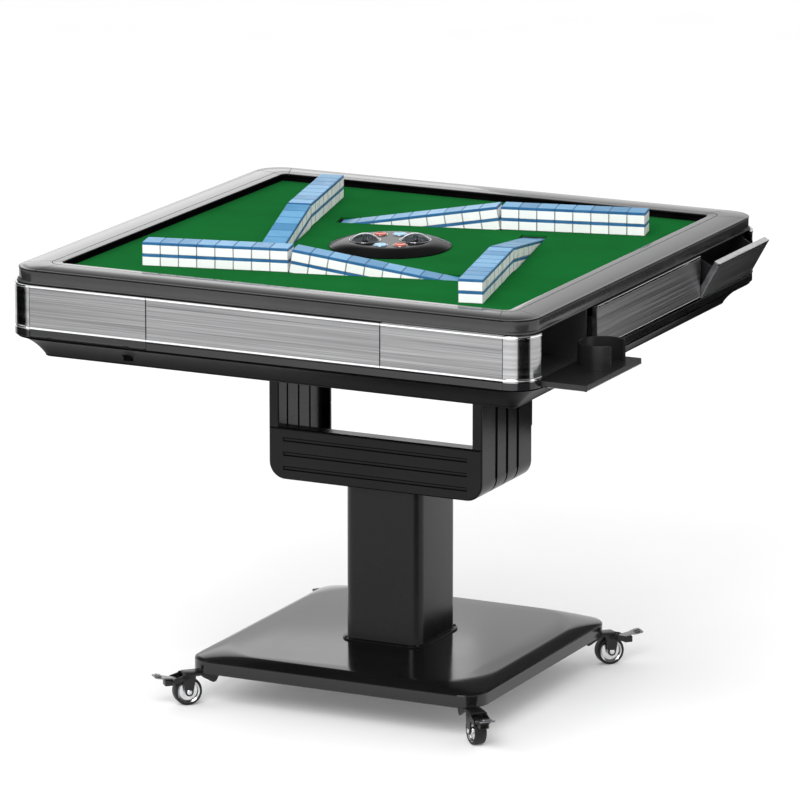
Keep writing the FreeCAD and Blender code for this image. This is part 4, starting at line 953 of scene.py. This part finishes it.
# floor, soft light and dark screens that only reflections see
studio = {
    "floorSide": 60.0, "floorTones": (0.97, 0.99), "floorGlow": 0.12, "floorRough": 0.9,
    "floorGloss": 0.1, "paper": (3.0, 3.0), "worldFill": 1.0, "ceiling": 0.1, "horizon": (0.27, 0.46),
    "lampAim": (0.0, 0.0, 0.7),
    "lamps": {"keyLamp": ((0.8, -3.6, 3.2), (2.4, 2.4), 125.0),
              "fillLamp": ((-3.2, -1.4, 2.6), (2.2, 2.2), 20.0),
              "railLamp": ((-1.75, 2.75, 1.45), (1.2, 0.8), 2.6)},
    "screens": {"rightScreen": ((0.906, -1.115, 0.42), (1.254, -0.485, 0.42), 0.36),
                "leftScreen": ((-1.0, -1.06, 0.42), (-1.0, -0.3, 0.42), 0.36),
                "binScreen": ((0.33, 0.62, 0.32), (0.83, 0.62, 0.32), 0.4),
                "backScreen": ((2.34, 2.12, 0.0), (0.36, 3.08, 0.0), 0.7)},
    "patch": ((0.3, -0.27, 0.003), (1.9, -0.2, 0.003), (1.9, -1.0, 0.003), (1.1, -1.6, 0.003))}


def raySeen(tree):
    rays = add(tree, "ShaderNodeLightPath")
    first, both = (add(tree, "ShaderNodeMath", operation="MAXIMUM") for pair in range(2))
    wire(tree, (rays, "Is Camera Ray", first, 0), (rays, "Is Glossy Ray", first, 1),
         (first, "Value", both, 0), (rays, "Is Transmission Ray", both, 1))
    return both.outputs["Value"]


def studioFloor():
    form = bmesh.new()
    bmesh.ops.create_grid(form, x_segments=1, y_segments=1, size=studio["floorSide"] / 2)
    tree, surface = newFinish("floorPaper")
    dark, light = studio["floorTones"]
    paper = noise(tree, placeOf(tree), *studio["paper"])
    fill(surface, {"Roughness": studio["floorRough"], "Specular IOR Level": studio["floorGloss"]})
    glow = add(tree, "ShaderNodeEmission", {"Strength": 1.0})
    share = add(tree, "ShaderNodeMath", {1: studio["floorGlow"]}, operation="MULTIPLY")
    blend = add(tree, "ShaderNodeMixShader")
    wire(tree, (toneRamp(tree, paper, (dark, dark), (light, light)), surface, "Base Color"),
         (raySeen(tree), share, 0), (share, "Value", blend, 0), (surface, "BSDF", blend, 1),
         (glow, "Emission", blend, 2), (blend, "Shader", tree.nodes["Material Output"], "Surface"))
    floor = bpy.data.objects.new("studio_floor", meshFrom(form, "studio_floor", "floorPaper"))
    scene.collection.objects.link(floor)


def studioWorld():
    world = bpy.data.worlds.new("studioWorld")
    world.use_nodes = True
    scene.world = world
    tree = world.node_tree
    # the camera and reflections see a pale horizon below a dark ceiling
    split = add(tree, "ShaderNodeSeparateXYZ")
    fade = spreadOf(tree, split.outputs["Z"], 1.0, studio["ceiling"], studio["horizon"],
                    interpolation_type="SMOOTHSTEP")
    strength = add(tree, "ShaderNodeMix", {"A": studio["worldFill"]})
    sky = fill(tree.nodes["Background"], {"Color": (1.0, 1.0, 1.0, 1.0)})
    wire(tree, (placeOf(tree, "Generated"), split, "Vector"), (raySeen(tree), strength, "Factor"),
         (fade, strength, "B"), (strength, "Result", sky, "Strength"))


def studioLamp(name, spot, size, watts):
    light = bpy.data.lights.new(name, "AREA")
    light.shape, light.energy = "RECTANGLE", watts
    light.size, light.size_y = size
    holder = bpy.data.objects.new(name, light)
    holder.location = spot
    holder.rotation_euler = (Vector(studio["lampAim"]) - Vector(spot)).to_track_quat("-Z", "Y").to_euler()
    holder.visible_camera = False
    scene.collection.objects.link(holder)


def studioScreen(name, dots):
    form = bmesh.new()
    form.faces.new([form.verts.new(dot) for dot in dots])
    surface = newFinish(name)[1]
    fill(surface, {"Base Color": (0.0, 0.0, 0.0, 1.0), "Roughness": 1.0, "Specular IOR Level": 0.0})
    screen = bpy.data.objects.new(name, meshFrom(form, name, name))
    scene.collection.objects.link(screen)
    screen.visible_camera = screen.visible_diffuse = screen.visible_shadow = False
    screen.visible_transmission = screen.visible_volume_scatter = False


studioFloor()
studioWorld()
for name, values in studio["lamps"].items():
    studioLamp(name, *values)
for name, (first, second, height) in studio["screens"].items():
    studioScreen(name, [first, second, (*second[:2], second[2] + height), (*first[:2], first[2] + height)])
studioScreen("floorScreen", studio["patch"])

# camera at the picture's own angle
lens = {"azimuth": 25.819, "elevation": 13.59, "distance": 11.061, "length": 288.2, "sensor": 36.0,
        "middle": (0.0, 0.0, 0.4), "aside": 0.01662, "above": 0.11475}
turn, rise = math.radians(lens["azimuth"]), math.radians(lens["elevation"])
back = Vector((math.sin(turn) * math.cos(rise), -math.cos(turn) * math.cos(rise), math.sin(rise)))
right = Vector((math.cos(turn), math.sin(turn), 0.0))
up = back.cross(right)
target = Vector(lens["middle"]) + right * lens["aside"] + up * lens["above"]
camera = bpy.data.cameras.new("tableCamera")
camera.lens, camera.sensor_width = lens["length"], lens["sensor"]
eye = bpy.data.objects.new("tableCamera", camera)
eye.matrix_world = move(target + back * lens["distance"]) @ Matrix(
    (right, up, back)).transposed().to_4x4()
scene.collection.objects.link(eye)
scene.camera = eye
scene.view_settings.view_transform = "Standard"
print("studio set")
